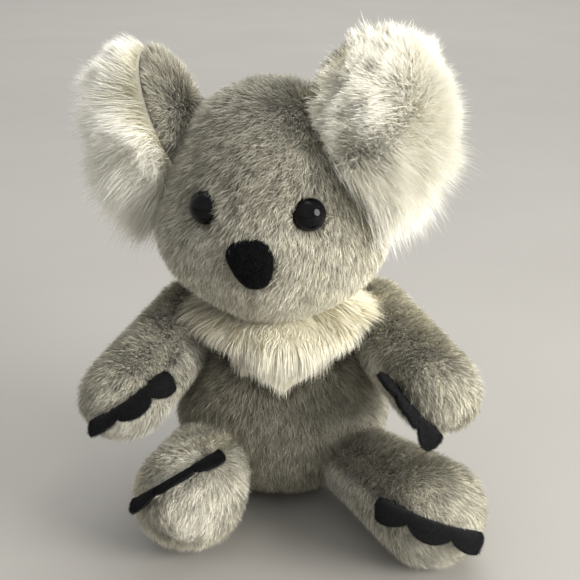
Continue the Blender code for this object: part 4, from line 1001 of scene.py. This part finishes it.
def pile_floor(across, upward):
    """The dense inner part of the long pile, a low mound on the ear's cupped panel."""
    away = np.hypot(2 * across / EAR_WIDTH, 2 * upward / EAR_HEIGHT)
    return ear_cup(across, upward) + MOUND * np.sqrt(np.maximum(1.0 - away**2, 0.0))


def pile_reach(root, way):
    """How far each strand goes from its root before it leaves the pile's rounded outline."""
    low, high = np.zeros(len(root)), np.full(len(root), FLUFF_SEARCH)
    for _ in range(16):
        middle = (low + high) / 2
        tip = root + way * middle[:, None]
        out = tip[:, 1] - ear_cup(tip[:, 0], tip[:, 2])
        out = np.where(out > 0.0, out / FLUFF_DEPTH, out / SPILL_DEPTH)
        upward = 2 * (tip[:, 2] + FLUFF_DROP) / FLUFF_HEIGHT
        spot = np.stack([2 * tip[:, 0] / FLUFF_WIDTH, out, upward])
        inside = np.sum(spot**2, axis=0) < 1.0
        low, high = np.where(inside, middle, low), np.where(inside, high, middle)
    return low


def clear_of_cheek(matrix, root, way, length):
    """Shares of the strands' lengths that stay above a slanting line over the cheek."""
    def above(points):
        spot = local(HEAD, placed(matrix, points))
        side = np.abs(spot[:, 0])
        return np.where(side < CHEEK_END, spot[:, 2] + CHEEK_SLOPE * side - CHEEK_LINE, 1.0)

    start, end = above(root), above(root + way * length[:, None])
    return np.where(end < 0.0, np.clip(start / np.maximum(start - end, 1e-6), 0.0, 1.0), 1.0)


def build_front_panel(body, matrix):
    rows, columns = 24, 72
    share = np.repeat(np.linspace(0.0, 1.0, rows), columns)
    turn = np.tile(np.arange(columns) / columns, rows) * 2 * np.pi
    across, upward = EAR_WIDTH / 2 * share * np.cos(turn), EAR_HEIGHT / 2 * share * np.sin(turn)
    points = np.stack([across, pile_floor(across, upward) - 0.0005, upward], axis=-1)
    points = placed(matrix, points)
    panel = grid_object(f"{body}_front_panel", points, rows, columns, WHITE_CLOTH)
    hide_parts(f"{body}_pile")
    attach(panel, body)


def comb_pile(side_name, root, side, height):
    """The strands' ways, and how much each one spills over the rim and gains in painted light."""
    comb, count = COMB[side_name], len(root)
    parted = 1.0 if comb["opening"] else 0.0
    spill = comb["spill"] * smooth((-side - 0.3) / 0.6) * smooth((0.35 - height) / 0.5)
    spill = spill * smooth((height + 1.1) / 0.6)
    side, height = side - comb["parting"][0], height - comb["parting"][1]
    side_way = comb["aim"][0] + np.where(side > 0.0, *comb["flare_side"]) * side
    side_way += comb["opening"] * np.tanh(side / 0.05 + 0.3 * rng.normal(size=count))
    side_way *= 1.0 - parted * 0.85 * smooth(-height / 0.7)
    flare_up = comb["flare_up"] * np.where(height < 0.0, 1.25, 1.0) * np.abs(height) ** 0.8
    up_way = comb["aim"][1] + flare_up * height + comb["sweep"] * np.maximum(side, 0.0)
    # painted light: the pile either side of the parting is set lighter, to lift the shade deep
    # among its strands
    painted_light = parted * (0.16 * smooth(-side / 0.5) + 0.10 * smooth(side / 0.6))
    way = np.stack([side_way, np.ones(count), up_way], axis=-1)
    way = way * (1.0 - spill)[:, None] + np.array(SPILL) * spill[:, None]
    for size, amount, seed in ((0.020, 0.55, 51), (0.008, 0.50, 61)):
        way += np.stack([ripple(root, size, seed + axis) for axis in range(3)], axis=1) * amount
    loose = 0.20 + parted * 0.30 * np.exp(-((side / 0.16) ** 2))
    return unit(way + loose[:, None] * rng.normal(size=(count, 3))), spill, painted_light


def build_fluff(side_name, body, matrix):
    """Long white pile that fans out of the ear's front panel."""
    count = int(FLUFF_COUNT * THIN)
    share = rng.random(count) ** 0.55
    turn = rng.random(count) * 2 * np.pi
    side, height = share * np.cos(turn), share * np.sin(turn)
    across, upward = EAR_WIDTH / 2 * side, EAR_HEIGHT / 2 * height
    root = np.stack([across, pile_floor(across, upward) - 0.001, upward], axis=-1)
    way, spill, painted_light = comb_pile(side_name, root, side, height)
    shortest, longest = FLUFF_SHORTEST + 0.004 * spill, FLUFF_LONGEST - 0.028 * spill
    length = np.clip(pile_reach(root, way), shortest, longest)
    length = length * (1.13 - 0.42 * rng.random(count) ** 2.0)
    stray = np.where(rng.random(count) < 0.16, 1.30, 1.0)
    length *= stray * (1.0 + 0.30 * ripple(root, 0.005, 81))
    cut = clear_of_cheek(matrix, root, way, length)
    length *= np.maximum(cut, 0.45)
    keep = cut > 0.05
    root, way, length = root[keep], way[keep], length[keep]
    count = len(root)
    lines = []
    for along in np.arange(FLUFF_POINTS) / (FLUFF_POINTS - 1):
        droop = np.array([0.0, 0.0, -0.0035]) * along**2
        lines.append(root + way * (length * along)[:, None] + droop * (length / 0.03)[:, None])
    lines = placed(matrix, np.stack(lines, axis=1).reshape(-1, 3)).reshape(count, -1, 3)
    wave = np.stack([ripple(lines[:, -1], 0.009, seed) for seed in (71, 72, 73)], axis=1) * 0.0020
    lines += wave[:, None, :] * (np.linspace(0.0, 1.0, FLUFF_POINTS) ** 1.6)[None, :, None]
    lines = clump(lines, FLUFF_TUFT, 0.55)
    normal = unit(lines[:, 1] - lines[:, 0])
    normal = along_surface(np.tile(np.array(matrix)[:3, 1], (count, 1)) + 0.001, normal)
    # painted light from comb_pile lifts the shaded parts of the pile
    tone_and_shade = 0.55 + 0.05 * ripple(lines[:, 0], 0.012, 54) + painted_light[keep]
    wide = widths(count, FLUFF_STRAND_WIDTH)
    add_coat(f"{body}_fluff", body, lines, normal, wide, tone_and_shade, WHITE_FUR)


build_torso()
build_bib()
for limb in LIMBS:
    build_limb(limb)
build_head()
for ear_side in SIDES:
    build_ear(ear_side)


# Stage, light and camera


def build_stage():
    mesh = bpy.data.meshes.new("floor")
    signs = ((-1, -1), (1, -1), (1, 1), (-1, 1))
    corners = [(x * FLOOR_SIZE, y * FLOOR_SIZE, 0.0) for x, y in signs]
    mesh.from_pydata(corners, [], [(0, 1, 2, 3)])
    material, tree, shader = node_material("floor", 0.7, 0.0, 0.25)
    greys = [(0.3, (0.355, 0.338, 0.308)), (0.7, (0.375, 0.358, 0.327))]
    colour = ramp_node(tree, greys, noise_node(tree, 6.0))
    tree.links.new(colour, shader.inputs["Base Color"])
    mesh.materials.append(material)
    floor = bpy.data.objects.new("floor", mesh)
    bpy.context.scene.collection.objects.link(floor)


def build_world():
    world = bpy.data.worlds.new("studio")
    bpy.context.scene.world = world
    world.use_nodes = True
    tree = world.node_tree
    tree.nodes.clear()
    out = tree.nodes.new("ShaderNodeOutputWorld")
    seen = tree.nodes.new("ShaderNodeBackground")
    seen.inputs["Color"].default_value = (0.52, 0.50, 0.46, 1.0)
    seen.inputs["Strength"].default_value = 1.0
    lit = tree.nodes.new("ShaderNodeBackground")
    lit.inputs["Color"].default_value = (0.97, 0.98, 1.0, 1.0)
    lit.inputs["Strength"].default_value = 0.66
    path = tree.nodes.new("ShaderNodeLightPath")
    mix = tree.nodes.new("ShaderNodeMixShader")
    tree.links.new(path.outputs["Is Camera Ray"], mix.inputs["Fac"])
    tree.links.new(lit.outputs["Background"], mix.inputs[1])
    tree.links.new(seen.outputs["Background"], mix.inputs[2])
    tree.links.new(mix.outputs["Shader"], out.inputs["Surface"])


def add_lamp(name, place, target, size, power, colour):
    data = bpy.data.lights.new(name, "AREA")
    data.shape = "DISK"
    data.size = size
    data.energy = power
    data.color = colour
    lamp = bpy.data.objects.new(name, data)
    lamp.location = place
    lamp.rotation_euler = (Vector(target) - Vector(place)).to_track_quat("-Z", "Y").to_euler()
    bpy.context.scene.collection.objects.link(lamp)


def add_camera():
    data = bpy.data.cameras.new("camera")
    data.sensor_width = SENSOR_WIDTH
    data.lens = SENSOR_WIDTH * FOCAL_PIXELS / IMAGE_WIDTH
    data.clip_start = 0.01
    camera = bpy.data.objects.new("camera", data)
    camera.location = CAMERA_PLACE
    camera.rotation_euler = (math.radians(CAMERA_TILT), 0.0, 0.0)
    bpy.context.scene.collection.objects.link(camera)
    bpy.context.scene.camera = camera


build_stage()
build_world()
for lamp in LAMPS:
    add_lamp(*lamp)
add_camera()
bpy.context.scene.view_settings.view_transform = "Standard"
